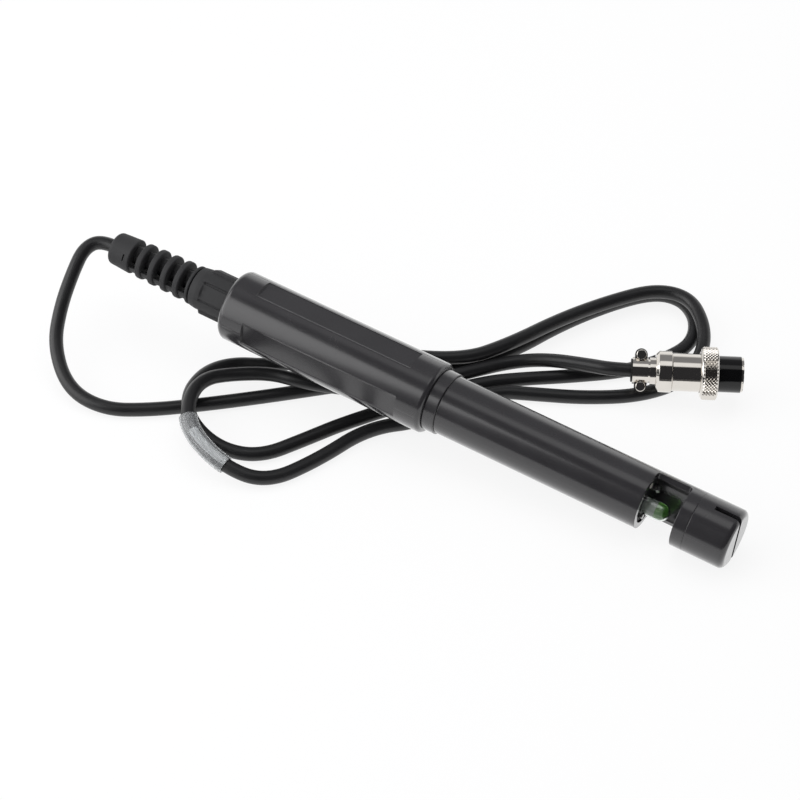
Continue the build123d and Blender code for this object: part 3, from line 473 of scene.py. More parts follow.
# Drawn soda glass: clear and wet-looking.
GLASS = Finish("drawn_glass", "f3f7f4", "eef4f0", 0.02, 0.01, ior=1.5, transmission=1.0, grain=2.0,
               grain_depth=0.001, drift=6.0, drift_depth=0.004)
# Buffered gel in the bulb: cloudy, pale grey.
GEL = Finish("clouded_gel", "e6e9e6", "d4d8d4", 0.15, 0.05, ior=1.35, transmission=0.7, grain=0.9, grain_depth=0.01)
# Lithium glass of the bulb's tip: green.
GREEN_GLASS = Finish("green_lithium_glass", "9fd47e", "6fb350", 0.08, 0.03, ior=1.4, transmission=0.75, grain=0.8,
                     grain_depth=0.006)
# Glass-fibre board with solder resist.
BOARD = Finish("solder_resist", "1f5a37", "1a4d2f", 0.35, 0.06, grain=0.6)
# Moulded chip bodies.
CHIP = Finish("moulded_epoxy", "1a1a1c", "222224", 0.55, 0.06, grain=0.4)
# Lead insulation.
LEAD = Finish("lead_insulation", "8d2a24", "7c241f", 0.45, 0.06, grain=0.5)


class Studio:
    """The plain white table, its soft light and the picture's camera."""

    camera_at = Vector((0.30424, -0.5292, 0.605))
    camera_towards = Vector((-0.01156, 0.0111, 0.0))
    focal_pixels = 2452.0
    picture_pixels = 800.0
    towards_camera = Vector((0.5046, -0.8633, 0.0))
    table_front = 0.25
    table_half_width = 1.5

    def set_camera(self) -> None:
        """Puts the camera where the picture was taken from."""
        data = bpy.data.cameras.new("picture_camera")
        data.sensor_width = 36.0
        data.lens = self.focal_pixels / self.picture_pixels * data.sensor_width
        data.clip_start = 0.01
        camera = bpy.data.objects.new("picture_camera", data)
        camera.location = self.camera_at
        camera.rotation_euler = (self.camera_towards - self.camera_at).to_track_quat("-Z", "Y").to_euler()
        bpy.context.scene.collection.objects.link(camera)
        bpy.context.scene.camera = camera

    def set_world(self) -> None:
        """A white room with a dark side behind the camera, which metal and glass reflect."""
        world = bpy.data.worlds.new("studio")
        world.use_nodes = True
        tree = world.node_tree
        tree.nodes.clear()
        ray = add(tree, "ShaderNodeLightPath")
        where = add(tree, "ShaderNodeTexCoord")
        facing = add(tree, "ShaderNodeVectorMath", {"operation": "DOT_PRODUCT"},
                     {0: where.outputs["Generated"], 1: self.towards_camera})
        height = add(tree, "ShaderNodeSeparateXYZ", {}, {0: where.outputs["Generated"]}).outputs[2]
        side = add(tree, "ShaderNodeMapRange", {"interpolation_type": "SMOOTHSTEP"},
                   {0: facing.outputs["Value"], 1: -0.02, 2: 0.12, 3: 0.0, 4: 1.0})
        wall = add(tree, "ShaderNodeMapRange", {"interpolation_type": "SMOOTHSTEP"},
                   {0: height, 1: 0.32, 2: 0.58, 3: 0.0, 4: 1.0})
        ceiling = add(tree, "ShaderNodeMapRange", {"interpolation_type": "SMOOTHSTEP"},
                      {0: height, 1: 0.955, 2: 0.985, 3: 0.0, 4: 1.0})
        behind = add(tree, "ShaderNodeMix", {"data_type": "RGBA"},
                     {0: wall.outputs[0], 6: linear("ffffff"), 7: linear("8c8c8e")})
        around = add(tree, "ShaderNodeMix", {"data_type": "RGBA"},
                     {0: side.outputs[0], 6: behind.outputs[2], 7: linear("303032")})
        room = add(tree, "ShaderNodeMix", {"data_type": "RGBA"},
                   {0: ceiling.outputs[0], 6: around.outputs[2], 7: linear("ffffff")})
        ambient = add(tree, "ShaderNodeBackground", {}, {"Color": linear("fbfbff"), "Strength": 0.5})
        mirrored = add(tree, "ShaderNodeBackground", {}, {"Color": room.outputs[2], "Strength": 1.0})
        seen = add(tree, "ShaderNodeBackground", {}, {"Color": linear("ffffff"), "Strength": 1.0})
        lit = add(tree, "ShaderNodeMixShader", {}, {0: ray.outputs["Is Glossy Ray"], 1: ambient.outputs[0],
                                                    2: mirrored.outputs[0]})
        direct = add(tree, "ShaderNodeMath", {"operation": "MAXIMUM"},
                     {0: ray.outputs["Is Camera Ray"], 1: ray.outputs["Is Transmission Ray"]})
        whole = add(tree, "ShaderNodeMixShader", {}, {0: direct.outputs[0], 1: lit.outputs[0], 2: seen.outputs[0]})
        add(tree, "ShaderNodeOutputWorld", {}, {"Surface": whole.outputs[0]})
        bpy.context.scene.world = world

    def lay_table(self) -> None:
        """The pale floor, bright to the eye and in reflections, which still takes the shadow."""
        across = Vector((-self.towards_camera.y, self.towards_camera.x, 0.0))
        near = self.towards_camera * self.table_front
        far = self.towards_camera * -2 * self.table_half_width
        mesh = bmesh.new()
        corners = [near - across * self.table_half_width, near + across * self.table_half_width,
                   far + across * self.table_half_width, far - across * self.table_half_width]
        mesh.faces.new([mesh.verts.new(corner) for corner in corners])
        floor = finish_mesh(mesh, "table", Matrix.Identity(4))
        material = bpy.data.materials.new("white_laminate")
        material.use_nodes = True
        tree = material.node_tree
        tree.nodes.clear()
        ray = add(tree, "ShaderNodeLightPath")
        shown = add(tree, "ShaderNodeMath", {"operation": "SUBTRACT", "use_clamp": True},
                    {0: 1.0, 1: ray.outputs["Is Diffuse Ray"]})
        surface = add(tree, "ShaderNodeBsdfPrincipled", {}, {"Base Color": linear("f4f4f4"), "Roughness": 0.7})
        glow = add(tree, "ShaderNodeEmission", {}, {"Color": linear("ffffff"), "Strength": 1.0})
        glow_share = add(tree, "ShaderNodeMapRange", {}, {0: ray.outputs["Is Glossy Ray"], 3: 0.87, 4: 1.0})
        share = add(tree, "ShaderNodeMath", {"operation": "MULTIPLY"},
                    {0: shown.outputs[0], 1: glow_share.outputs[0]})
        mixed = add(tree, "ShaderNodeMixShader", {}, {0: share.outputs[0], 1: surface.outputs[0],
                                                      2: glow.outputs[0]})
        add(tree, "ShaderNodeOutputMaterial", {}, {"Surface": mixed.outputs[0]})
        dress(floor, material)

    def hang_lamp(self, name: str, direction: Vector, distance: float, size: float, power: float,
                  mirrored: bool) -> None:
        """Hangs one soft square lamp that looks at the probe.

        Args:
            name: the lamp's name.
            direction: from the probe to the lamp.
            distance: how far away, in metres.
            size: the lamp's side, in metres.
            power: watts.
            mirrored: whether reflections show it.
        """
        data = bpy.data.lights.new(name, "AREA")
        data.size = size
        data.energy = power
        lamp = bpy.data.objects.new(name, data)
        lamp.location = direction.normalized() * distance
        lamp.rotation_euler = (-direction).to_track_quat("-Z", "Y").to_euler()
        lamp.visible_glossy = mirrored
        bpy.context.scene.collection.objects.link(lamp)

    def build(self) -> None:
        """Sets the whole studio up."""
        self.set_camera()
        self.set_world()
        self.lay_table()
        up = Vector((0, 0, 1))
        self.hang_lamp("left_softbox", Vector((-0.609, -0.511, 0.42)), 0.9, 0.96, 6.0, True)
        self.hang_lamp("overhead_fill", up - self.towards_camera * 0.2, 0.9, 0.8, 4.0, False)
        bpy.context.scene.view_settings.view_transform = "Standard"


# The cable.


@dataclass
class Cable:
    """The free cable, its clear label tube and the bare label strip in it."""

    diameter: float = 5.0
    length: float = 1162.8
    exit_station: float = 247.5
    exit_run: float = 6.5
    entry_run: float = 6.0
    clamp_end: float = 5.9
    tube_length: float = 20.6
    tube_shift: float = 1.3
    tube_bore: float = 2.8
    tube_radius: float = 3.3
    label_length: float = 15.4
    label_shift: float = -0.2
    label_radius: float = 2.68
    label_span: float = 68.0
    label_turn: float = 10.0
    route: Sequence[tuple[float, float, float]] = ROUTE

    def points(self) -> list[Vector]:
        """The route's points in the frame, from the strain relief's end into the connector."""
        ends = [PROBE_PLACE @ Vector((self.exit_station + run, 0, 0)) for run in (0, self.exit_run)]
        entry = [PLUG_PLACE @ Vector((station, 0, 0)) for station in (-self.entry_run, self.clamp_end)]
        return ends + [Vector(point) for point in self.route] + entry

    def curve(self, name: str, bevel: float) -> bpy.types.Object:
        """The route as one smooth spline.

        Args:
            name: the object's name.
            bevel: the cord's radius in millimetres, or 0 for the bare line.

        Returns:
            The curve object.
        """
        data = bpy.data.curves.new(name, "CURVE")
        data.dimensions = "3D"
        spline = data.splines.new("NURBS")
        points = self.points()
        spline.points.add(len(points) - 1)
        for control, point in zip(spline.points, points):
            control.co = (*point, 1.0)
        spline.order_u = 3
        spline.use_endpoint_u = True
        data.resolution_u = 12
        data.bevel_depth = bevel * MM
        data.bevel_resolution = 6
        data.use_fill_caps = bevel > 0
        piece = bpy.data.objects.new(name, data)
        bpy.context.scene.collection.objects.link(piece)
        return piece

    def line(self) -> list[Vector]:
        """Points read from the route's spline, for the pieces that lie along it."""
        bare = self.curve("cable_line", 0.0)
        graph = bpy.context.evaluated_depsgraph_get()
        mesh = bpy.data.meshes.new_from_object(bare.evaluated_get(graph), depsgraph=graph)
        points = [vertex.co.copy() for vertex in mesh.vertices]
        bpy.data.meshes.remove(mesh)
        bpy.data.objects.remove(bare)
        return points

    def stretch(self, line: list[Vector], middle: Vector, length: float, shift: float) -> list[Vector]:
        """The part of the line of a given length, in millimetres, shifted from the point nearest a place."""
        centre = min(range(len(line)), key=lambda index: (line[index] - middle).length)
        run = 0.0
        step = 1 if shift > 0 else -1
        while run < abs(shift) * MM:
            run += (line[centre + step] - line[centre]).length
            centre += step
        part = [line[centre]]
        for step in (-1, 1):
            index, run = centre, 0.0
            while run < length * MM / 2 and 0 < index < len(line) - 1:
                run += (line[index + step] - line[index]).length
                index += step
                part = [line[index], *part] if step < 0 else [*part, line[index]]
        return part

    def wrapped(self, name: str, path: list[Vector], rings: Sequence[tuple[float, float]],
                span: float = 360.0, turn: float = 0.0) -> bpy.types.Object:
        """A thin wall that follows a path, closed all round or over a part of the way.

        Args:
            name: the piece's name.
            path: points in metres.
            rings: (share along the path, radius in millimetres) of the wall's outline, in order.
            span: how far round it goes, in degrees.
            turn: where its middle lies, in degrees from straight up towards the picture's camera.

        Returns:
            The new object.
        """
        whole = span >= 360.0
        count = 40 if whole else 20
        mesh = bmesh.new()
        rows = []
        for share, radius in rings:
            place = share * (len(path) - 1)
            index = min(int(place), len(path) - 2)
            centre = path[index].lerp(path[index + 1], place - index)
            along = (path[min(index + 2, len(path) - 1)] - path[max(index - 1, 0)]).normalized()
            side = along.cross(Vector((0, 0, 1))).normalized()
            if side.dot(Studio.towards_camera) < 0:
                side = -side
            up = side.cross(along) if side.cross(along).z > 0 else along.cross(side)
            row = []
            for step in range(count if whole else count + 1):
                angle = math.radians(turn + span * (step / count - 0.5))
                row.append(mesh.verts.new(centre + (up * math.cos(angle) + side * math.sin(angle)) * radius * MM))
            rows.append(row)
        for one, two in zip(rows, rows[1:] + [rows[0]]):
            for index in range(len(one) if whole else len(one) - 1):
                onward = (index + 1) % len(one)
                mesh.faces.new((one[index], one[onward], two[onward], two[index]))
        if not whole:
            mesh.faces.new([row[0] for row in rows])
            mesh.faces.new([row[-1] for row in rows])
        return finish_mesh(mesh, name, Matrix.Identity(4), 50.0)

    def outline(self, inner: float, outer: float, steps: int) -> list[tuple[float, float]]:
        """The section of a straight-ended wall along the path, out along it and back."""
        shares = [step / steps for step in range(steps + 1)]
        return [(share, outer) for share in shares] + [(share, inner) for share in reversed(shares)]

    def build(self, jacket: bpy.types.Material, vinyl: bpy.types.Material,
              paper: bpy.types.Material) -> list[bpy.types.Object]:
        """Makes the cable and what is on it, and returns its pieces."""
        cord = dress(self.curve("signal_cable", self.diameter / 2), jacket)
        seated(cord, Body.PROBE, "cable_jacket", "cable")
        low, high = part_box("label_sleeve")
        line = self.line()
        middle = (low + high) / 2
        path = self.stretch(line, middle, self.tube_length, self.tube_shift)
        tube = dress(self.wrapped("label_tube", path, self.outline(self.tube_bore, self.tube_radius, 28)), vinyl)
        seated(tube, Body.PROBE, "clear_tube", "label_sleeve")
        path = self.stretch(line, middle, self.label_length, self.label_shift)
        strip = self.wrapped("label_strip", path, self.outline(self.label_radius - 0.06, self.label_radius, 24),
                             self.label_span, self.label_turn)
        seated(dress(strip, paper), Body.PROBE, "label_paper", "paper_label")
        return [cord, tube, strip]


# The probe's tip.


@dataclass
class Tip:
    """The slotted cap, the slim barrel with its window, and the sensors that the window shows."""

    radius: float = 10.6
    bore: float = 8.5
    cap_length: float = 15.0
    cap_edge: float = 2.0
    cap_bore: float = 6.9
    cap_floor: float = 10.5
    cap_spigot: float = 18.6
    kerf_width: float = 1.7
    kerf_depth: float = 9.5
    window_front: float = 19.4
    window_rear: float = 32.3
    window_corner: float = 1.3
    wall_middle: float = -90.0
    wall_half: float = 71.0
    wall_fixed: float = 68.0
    barrel_end: float = 109.3
    spigot_radius: float = 9.8
    spigot_end: float = 127.0
    parting_lines: tuple[float, float] = (91.0, -23.0)
    parting_depth: float = 0.07
    parting_half: float = 0.9
    core_face: float = 33.0
    glass_at: tuple[float, float] = (0.5, -2.4)
    glass_radius: float = 3.3
    glass_wall: float = 0.6
    glass_proud: float = 9.0
    green_length: float = 4.6

    def wall_reach(self, station: float) -> float:
        """Half the window wall's span in degrees, which widens at the window's rounded corners."""
        inset = min(station - self.window_front, self.window_rear - station)
        if inset >= self.window_corner:
            return self.wall_half
        lift = self.window_corner - math.sqrt(self.window_corner**2 - (self.window_corner - max(inset, 0))**2)
        return self.wall_half + math.degrees(lift / self.radius)

    def columns(self) -> list[tuple[str, float]]:
        """The barrel's lengthwise lines: those of the window wall, then those of the open side."""
        line = self.parting_lines[1] - self.wall_middle
        fixed = [step * 4 - self.wall_fixed for step in range(35)]
        fixed = [angle for angle in fixed if abs(angle - line) > 1.5]
        fixed += [line - self.parting_half, line, line + self.parting_half - 0.2]
        wall = [("edge", -1.0), ("edge", -0.5)] + [("fixed", angle) for angle in sorted(fixed)]
        wall += [("edge", 0.5), ("edge", 1.0)]
        start = self.wall_reach(self.window_front)
        line = self.parting_lines[0] - self.wall_middle
        count = 72
        rest = [start + (360 - 2 * start) * step / count for step in range(1, count)]
        rest = [angle for angle in rest if abs(angle - line) > 2.0]
        rest += [line - self.parting_half, line, line + self.parting_half]
        return wall + [("open", angle) for angle in sorted(rest)]

    def barrel(self) -> bpy.types.Object:
        """The slim tube, its end ring and the wall over the window, as one moulding."""
        columns = self.columns()
        wall_count = sum(kind != "open" for kind, _ in columns)
        corner = [self.window_corner * share for share in (0.0, 0.06, 0.15, 0.3, 0.5, 0.75, 1.0)]
        stations = [self.cap_length, self.cap_length + 0.4, self.window_front - 0.4]
        stations += [self.window_front + inset for inset in corner]
        stations += [self.window_rear - inset for inset in reversed(corner)]
        stations += [self.window_rear + 0.4, self.barrel_end - 0.4, self.barrel_end]
        window = range(3, 3 + 2 * len(corner) - 1)
        mesh = bmesh.new()

        def row(station: float, radius: float, marked: bool) -> list[bmesh.types.BMVert]:
            """One ring of points at a station."""
            points = []
            for kind, value in columns:
                reach = self.wall_reach(station)
                if kind == "edge":
                    value = math.copysign(self.wall_fixed + (reach - self.wall_fixed) * abs(value), value)
                angle = self.wall_middle + value
                marks = [abs((angle - line + 180) % 360 - 180) < 0.1 for line in self.parting_lines]
                size = radius - (self.parting_depth if marked and any(marks) else 0.0)
                turn = math.radians(angle)
                points.append(mesh.verts.new((station, size * math.sin(turn), size * math.cos(turn))))
            return points

        outer = [row(station, self.radius, True) for station in stations]
        inner = [row(station, self.bore, False) for station in stations]
        kept = []
        for level in range(len(stations) - 1):
            for index in range(len(columns)):
                if level in window and index >= wall_count - 1:
                    continue
                onward = (index + 1) % len(columns)
                kept.append((level, index, onward))
                mesh.faces.new((outer[level][index], outer[level][onward],
                                outer[level + 1][onward], outer[level + 1][index]))
                mesh.faces.new((inner[level][index], inner[level + 1][index],
                                inner[level + 1][onward], inner[level][onward]))
        edges: dict[tuple, int] = {}
        for level, index, onward in kept:
            for pair in (((level, index), (level, onward)), ((level + 1, index), (level + 1, onward)),
                         ((level, index), (level + 1, index)), ((level, onward), (level + 1, onward))):
                edges[pair] = edges.get(pair, 0) + 1
        for (one, two), uses in edges.items():
            if uses == 1:
                mesh.faces.new((outer[one[0]][one[1]], outer[two[0]][two[1]],
                                inner[two[0]][two[1]], inner[one[0]][one[1]]))
        return softened(finish_mesh(mesh, "barrel_tube", MOULD_PLACE), 0.22)

    def spigot(self) -> bpy.types.Object:
        """The barrel's rear end, which plugs into the grip."""
        profile = [(self.barrel_end - 0.5, self.bore), (self.barrel_end - 0.5, self.spigot_radius),
                   (self.spigot_end, self.spigot_radius), (self.spigot_end, self.bore)]
        return turned("barrel_spigot", profile, MOULD_PLACE)

    def cap(self) -> bpy.types.Object:
        """The cap, hollow behind its face, with its slot sawn across."""
        corners = [(0.0, 0.0, 0.0), (0.0, self.radius, self.cap_edge), (self.cap_length, self.radius, 0.25),
                   (self.cap_length, self.bore - 0.05, 0.0), (self.cap_spigot, self.bore - 0.05, 0.2),
                   (self.cap_spigot, self.cap_bore, 0.2), (self.cap_floor, self.cap_bore, 0.3),
                   (self.cap_floor, 0.0, 0.0)]
        cap = turned("slotted_cap", rounded(corners, closed=False, steps=8), PROBE_PLACE)
        reach = self.radius * 1.5
        kerf = block("kerf", (-self.kerf_depth, -self.kerf_width / 2, -reach),
                     (self.kerf_depth, self.kerf_width / 2, reach), PROBE_PLACE)
        return softened(cut(cap, kerf), 0.12, 50.0)

    def bulb_profile(self, radius: float, start: float, end: float, steps: int = 12) -> Profile:
        """A domed end and a straight side, from the pole to a station."""
        dome = start + radius
        arc = [(dome - radius * math.cos(step / steps * math.pi / 2), radius * math.sin(step / steps * math.pi / 2))
               for step in range(steps + 1)]
        return arc + [(end, radius)]

    def glass(self) -> list[bpy.types.Object]:
        """The bulb's glass, the gel in it and the green tip of lithium glass."""
        place = PROBE_PLACE @ Matrix.Translation((0, self.glass_at[0], self.glass_at[1]))
        front = self.core_face - self.glass_proud
        end = self.core_face + 3.0
        outer = self.bulb_profile(self.glass_radius, front, end)
        inner = self.bulb_profile(self.glass_radius - 0.35, front + 0.35, end)
        shell = turned("glass_bulb", outer + inner[::-1], place, ring_angles(48), closed=False)
        tip = self.bulb_profile(self.glass_radius - 0.45, front + 0.45, front + self.green_length)
        green = turned("green_tip", tip + [(front + self.green_length, 0.0)], place, ring_angles(48), closed=False)
        gel_front = front + self.green_length + 0.05
        gel = turned("bulb_gel", [(gel_front, 0.0), (gel_front, self.glass_radius - 0.45),
                                  (end, self.glass_radius - 0.45), (end, 0.0)], place, ring_angles(48), closed=False)
        return [shell, green, gel]

    def build(self, finishes: dict[str, bpy.types.Material]) -> None:
        """Makes the tip's pieces and seats them."""
        seated(dress(self.barrel(), finishes["housing"]), Body.PROBE, "housing_plastic", "barrel")
        seated(dress(self.spigot(), finishes["housing"]), Body.PROBE, "housing_plastic")
        seated(dress(self.cap(), finishes["housing"]), Body.CAP, "housing_plastic", "tip_cap")
        shell, green, gel = self.glass()
        seated(dress(shell, finishes["glass"]), Body.PROBE, "glass", "glass_electrode")
        seated(dress(green, finishes["green"]), Body.PROBE, "glass")
        seated(dress(gel, finishes["gel"]), Body.PROBE, "glass")


# The grip.


@dataclass
class Grip:
    """The fat grip with its four flat panels, and the collar in front of it."""

    front: float = 113.9
    rear: float = 196.3
    radius: float = 13.0
    bore: float = 10.9
    rear_wall: float = 3.0
    rear_hole: float = 6.5
    front_edge: float = 1.5
    rear_edge: float = 2.2
    panel_floor: float = 11.983
    panel_half: float = 4.4
    panel_start: float = 123.9
    panel_end: float = 185.9
    panel_ease: float = 0.22
    parting_lines: tuple[float, float] = (91.0, -23.0)
    collar_front: float = 109.3
    collar_radius: float = 11.2
    collar_bore: float = 9.85
    collar_spigot: float = 118.9

    def sink(self, station: float, angle: float) -> float:
        """How far a point of the grip's skin lies below the round, at a panel or a parting line."""
        off = (angle + 45) % 90 - 45
        across = self.radius * math.sin(math.radians(off))
        ease = self.panel_ease
        side = min(max((self.panel_half + ease / 2 - abs(across)) / ease, 0.0), 1.0)
        inset = min(station - self.panel_start, self.panel_end - station)
        end = min(max(inset / ease + 0.5, 0.0), 1.0)
        share = side * side * (3 - 2 * side) * end * end * (3 - 2 * end)
        drop = share * (self.panel_floor / math.cos(math.radians(off)) - self.radius)
        for line in self.parting_lines:
            away = abs((angle - line + 180) % 360 - 180)
            drop -= 0.06 * max(0.0, 1 - away / 0.8) * (1 - share)
        return drop

    def housing(self) -> bpy.types.Object:
        """The grip's tube, with panels and a rear wall."""
        corners = [(self.front, self.radius, self.front_edge), (self.rear, self.radius, self.rear_edge),
                   (self.rear, self.rear_hole, 0.2), (self.rear - self.rear_wall, self.rear_hole, 0.0),
                   (self.rear - self.rear_wall, self.bore, 0.3), (self.front, self.bore, 0.2)]
        profile = rounded(corners, steps=7)
        marks = []
        for edge in (self.panel_start, self.panel_end):
            marks += [edge + self.panel_ease * share for share in (-0.7, -0.5, -0.25, 0.0, 0.25, 0.5, 0.7)]
        marks += [self.panel_start + step * 6.2 for step in range(1, 10)]
        index = next(spot for spot, (one, two) in enumerate(zip(profile, profile[1:]))
                     if two[0] - one[0] > 50 and one[1] > 12.9)
        profile[index + 1:index + 1] = [(station, self.radius) for station in sorted(marks)]
        extra = []
        for panel in range(4):
            edge = math.degrees(math.asin(self.panel_half / self.radius))
            for side in (-1, 1):
                extra += [panel * 90 + side * (edge + step * 0.3) for step in (-2, -1, 0, 1, 2)]
        for line in self.parting_lines:
            extra += [line - 0.8, line, line + 0.8]

        return turned_outer("grip_housing", profile, MOULD_PLACE, ring_angles(144, extra),
                            self.radius - 0.01, self.sink)

    def collar(self) -> bpy.types.Object:
        """The collar ring and its spigot."""
        corners = [(self.collar_front, self.collar_radius, 0.3), (self.front - 0.15, self.collar_radius, 0.2),
                   (self.front - 0.15, self.bore - 0.05, 0.0), (self.collar_spigot, self.bore - 0.05, 0.2),
                   (self.collar_spigot, self.collar_bore, 0.0), (self.collar_front, self.collar_bore, 0.1)]
        return turned("grip_collar", rounded(corners, steps=4), PROBE_PLACE)

    def build(self, plastic: bpy.types.Material) -> None:
        """Makes the grip's pieces and seats them."""
        seated(dress(self.housing(), plastic), Body.PROBE, "housing_plastic", "handle_housing")
        seated(dress(self.collar(), plastic), Body.PROBE, "housing_plastic", "front_collar")


# The strain relief.


@dataclass
class StrainRelief:
    """The flexible slotted moulding at the grip's rear."""

    start: float = 196.3
    root_end: float = 212.4
    rib_end: float = 207.3
    root_radius: float = 7.6
    flat_half: float = 7.0
    neck_radius: float = 7.2
    end_radius: float = 6.2
    boss_front: float = 238.4
    end: float = 247.5
    boss_radius: float = 5.9
    boss_edge: float = 1.4
    bore: float = 2.55
    slit: float = 0.5
    last_ring: float = 1.2
    ring_count: int = 4
    ring_pitch: float = 5.4
    ring_thickness: float = 2.2
    ring_round: float = 0.55
    slot_width: float = 3.2
    valley: float = 0.9
    web_half_width: float = 2.0
    web_top: float = 4.2
    lower_web: float = 3.7
    rib_half_width: float = 2.5
    rib_radius: float = 8.4
    groove_at: float = 3.3
    groove_half: float = 0.45
    groove_depth: float = 0.6

    def reach(self, station: float) -> float:
        """The tapered outer radius at a station."""
        share = (station - self.root_end) / (self.end - self.root_end)
        return self.neck_radius + share * (self.end_radius - self.neck_radius)

    def root_skin(self, station: float, angle: float) -> float:
        """How far the root's skin lies below the round, at its flats and their grooves."""
        if station > self.rib_end + 0.6:
            return 0.0
        turn = math.radians(angle)
        side = abs(math.sin(turn))
        flat = min(self.root_radius, self.flat_half / max(side, 0.01))
        drop = flat - self.root_radius
        height = abs(flat * math.cos(turn))
        if side > 0.5:
            edge = min(max((self.groove_half + 0.12 - abs(height - self.groove_at)) / 0.24, 0.0), 1.0)
            drop -= self.groove_depth * edge
        fade = min(max((self.rib_end + 0.3 - station) / 0.6, 0.0), 1.0)
        return drop * fade

    def root(self) -> bpy.types.Object:
        """The ribbed root between grip and rings."""
        corners = [(self.start, self.root_radius, 0.0), (self.root_end - 3.0, self.root_radius, 1.5),
                   (self.root_end - self.slit, self.reach(self.root_end) + 0.05, 0.35),
                   (self.root_end - self.slit, self.bore, 0.0), (self.start, self.bore, 0.0)]
        profile = rounded(corners, steps=4)
        marks = [self.start + 1.0 + step * 1.6 for step in range(6)]
        marks += [self.rib_end - 0.35 + step * 0.15 for step in range(6)]
        profile[1:1] = [(station, self.root_radius) for station in sorted(marks) if station < self.root_end - 3.4]
        return turned_outer("relief_root", profile, RELIEF_PLACE, ring_angles(288), self.root_radius - 0.01,
                            self.root_skin)

    def rib(self, side: int) -> bpy.types.Object:
        """One raised rib at the root, with a sloped end."""
        half, top = self.rib_half_width, self.rib_radius
        low = self.root_radius / 2
        slope = self.rib_end + top - self.root_radius + 0.6
        sections = [[Vector((self.start, y, side * z)) for y, z in ((-half, low), (half, low), (half, top),
                                                                    (-half, top))],
                    [Vector((self.rib_end, y, side * z)) for y, z in ((-half, low), (half, low), (half, top),
                                                                      (-half, top))],
                    [Vector((slope, y, side * z)) for y, z in ((-half, low), (half, low), (half, low + 2.4),
                                                               (-half, low + 2.4))]]
        return softened(lofted(f"relief_rib_{'upper' if side > 0 else 'lower'}", sections, RELIEF_PLACE), 0.35)

    def webs(self) -> list[bpy.types.Object]:
        """The narrow web above the cable and the broad one below, which carry the rings."""
        start, end = self.root_end - 0.6, self.boss_front + 0.4
        half, top = self.web_half_width, self.web_top
        upper = [[Vector((station, y, z)) for y, z in ((-half, 0.5), (half, 0.5), (half, top), (-half, top))]
                 for station in (start, end)]
        lower = []
        for step in range(9):
            station = start + (end - start) * step / 8
            radius = self.reach(station) - self.valley
            reach = math.acos(self.lower_web / radius)
            lower.append([Vector((station, radius * math.sin(angle), -radius * math.cos(angle)))
                          for angle in (reach * (share / 8 - 1) for share in range(17))])
        return [softened(lofted("relief_web_upper", upper, RELIEF_PLACE), 0.3),
                softened(lofted("relief_web_lower", lower, RELIEF_PLACE), 0.25)]

    def boss(self) -> bpy.types.Object:
        """The end boss round the cable, with its small gate notch."""
        corners = [(self.boss_front, self.bore, 0.0), (self.boss_front, self.reach(self.boss_front), 0.5),
                   (self.end, self.boss_radius, self.boss_edge), (self.end, self.bore, 0.5)]
        boss = turned("relief_boss", rounded(corners, steps=6), RELIEF_PLACE, ring_angles(96))
        station = self.boss_front + 2.2
        notch = block("notch", (station - 0.3, self.reach(station) - 0.9, -2.6), (station + 0.3, 9.0, 0.0),
                      RELIEF_PLACE)
        return softened(cut(boss, notch), 0.08, 50.0)

    def ring_tree(self, rubber: bpy.types.Material) -> bpy.types.NodeTree:
        """The tree that repeats one rounded ring along X, each a little smaller than the last."""
        tree = bpy.data.node_groups.new("relief_rings", "GeometryNodeTree")
        tree.interface.new_socket("Geometry", in_out="OUTPUT", socket_type="NodeSocketGeometry")
        for name, kind in (("Count", "NodeSocketInt"), ("Start", "NodeSocketFloat"), ("Pitch", "NodeSocketFloat"),
                           ("Thickness", "NodeSocketFloat"), ("Radius", "NodeSocketFloat"),
                           ("Bore", "NodeSocketFloat"), ("Rounding", "NodeSocketFloat"),
                           ("Taper", "NodeSocketFloat")):
            tree.interface.new_socket(name, in_out="INPUT", socket_type=kind)
        given = add(tree, "NodeGroupInput").outputs
        index = add(tree, "GeometryNodeInputIndex")
        along = add(tree, "ShaderNodeMath", {"operation": "MULTIPLY_ADD"},
                    {0: index.outputs[0], 1: given["Pitch"], 2: given["Start"]})
        at = add(tree, "ShaderNodeCombineXYZ", {}, {0: along.outputs[0]})
        points = add(tree, "GeometryNodePoints", {}, {"Count": given["Count"], "Position": at.outputs[0]})
        wall = add(tree, "ShaderNodeMath", {"operation": "SUBTRACT"}, {0: given["Radius"], 1: given["Bore"]})
        both = add(tree, "ShaderNodeMath", {"operation": "ADD"}, {0: given["Radius"], 1: given["Bore"]})
        middle = add(tree, "ShaderNodeMath", {"operation": "MULTIPLY"}, {0: both.outputs[0], 1: 0.5})
        hoop = add(tree, "GeometryNodeCurvePrimitiveCircle", {}, {"Resolution": 96, "Radius": middle.outputs[0]})
        section = add(tree, "GeometryNodeCurvePrimitiveQuadrilateral", {},
                      {"Width": wall.outputs[0], "Height": given["Thickness"]})
        soft = add(tree, "GeometryNodeFilletCurve", {"mode": "POLY"},
                   {"Curve": section.outputs[0], "Count": 5, "Radius": given["Rounding"]})
        ring = add(tree, "GeometryNodeCurveToMesh", {}, {"Curve": hoop.outputs[0], "Profile Curve": soft.outputs[0]})
        upright = add(tree, "GeometryNodeTransform", {}, {"Geometry": ring.outputs[0],
                                                          "Rotation": (0.0, math.pi / 2, 0.0)})
        less = add(tree, "ShaderNodeMath", {"operation": "MULTIPLY_ADD"},
                   {0: index.outputs[0], 1: given["Taper"], 2: 1.0})
        size = add(tree, "ShaderNodeCombineXYZ", {}, {0: 1.0, 1: less.outputs[0], 2: less.outputs[0]})
        rings = add(tree, "GeometryNodeInstanceOnPoints", {},
                    {"Points": points.outputs[0], "Instance": upright.outputs[0], "Scale": size.outputs[0]})
        plain = add(tree, "GeometryNodeRealizeInstances", {}, {"Geometry": rings.outputs[0]})
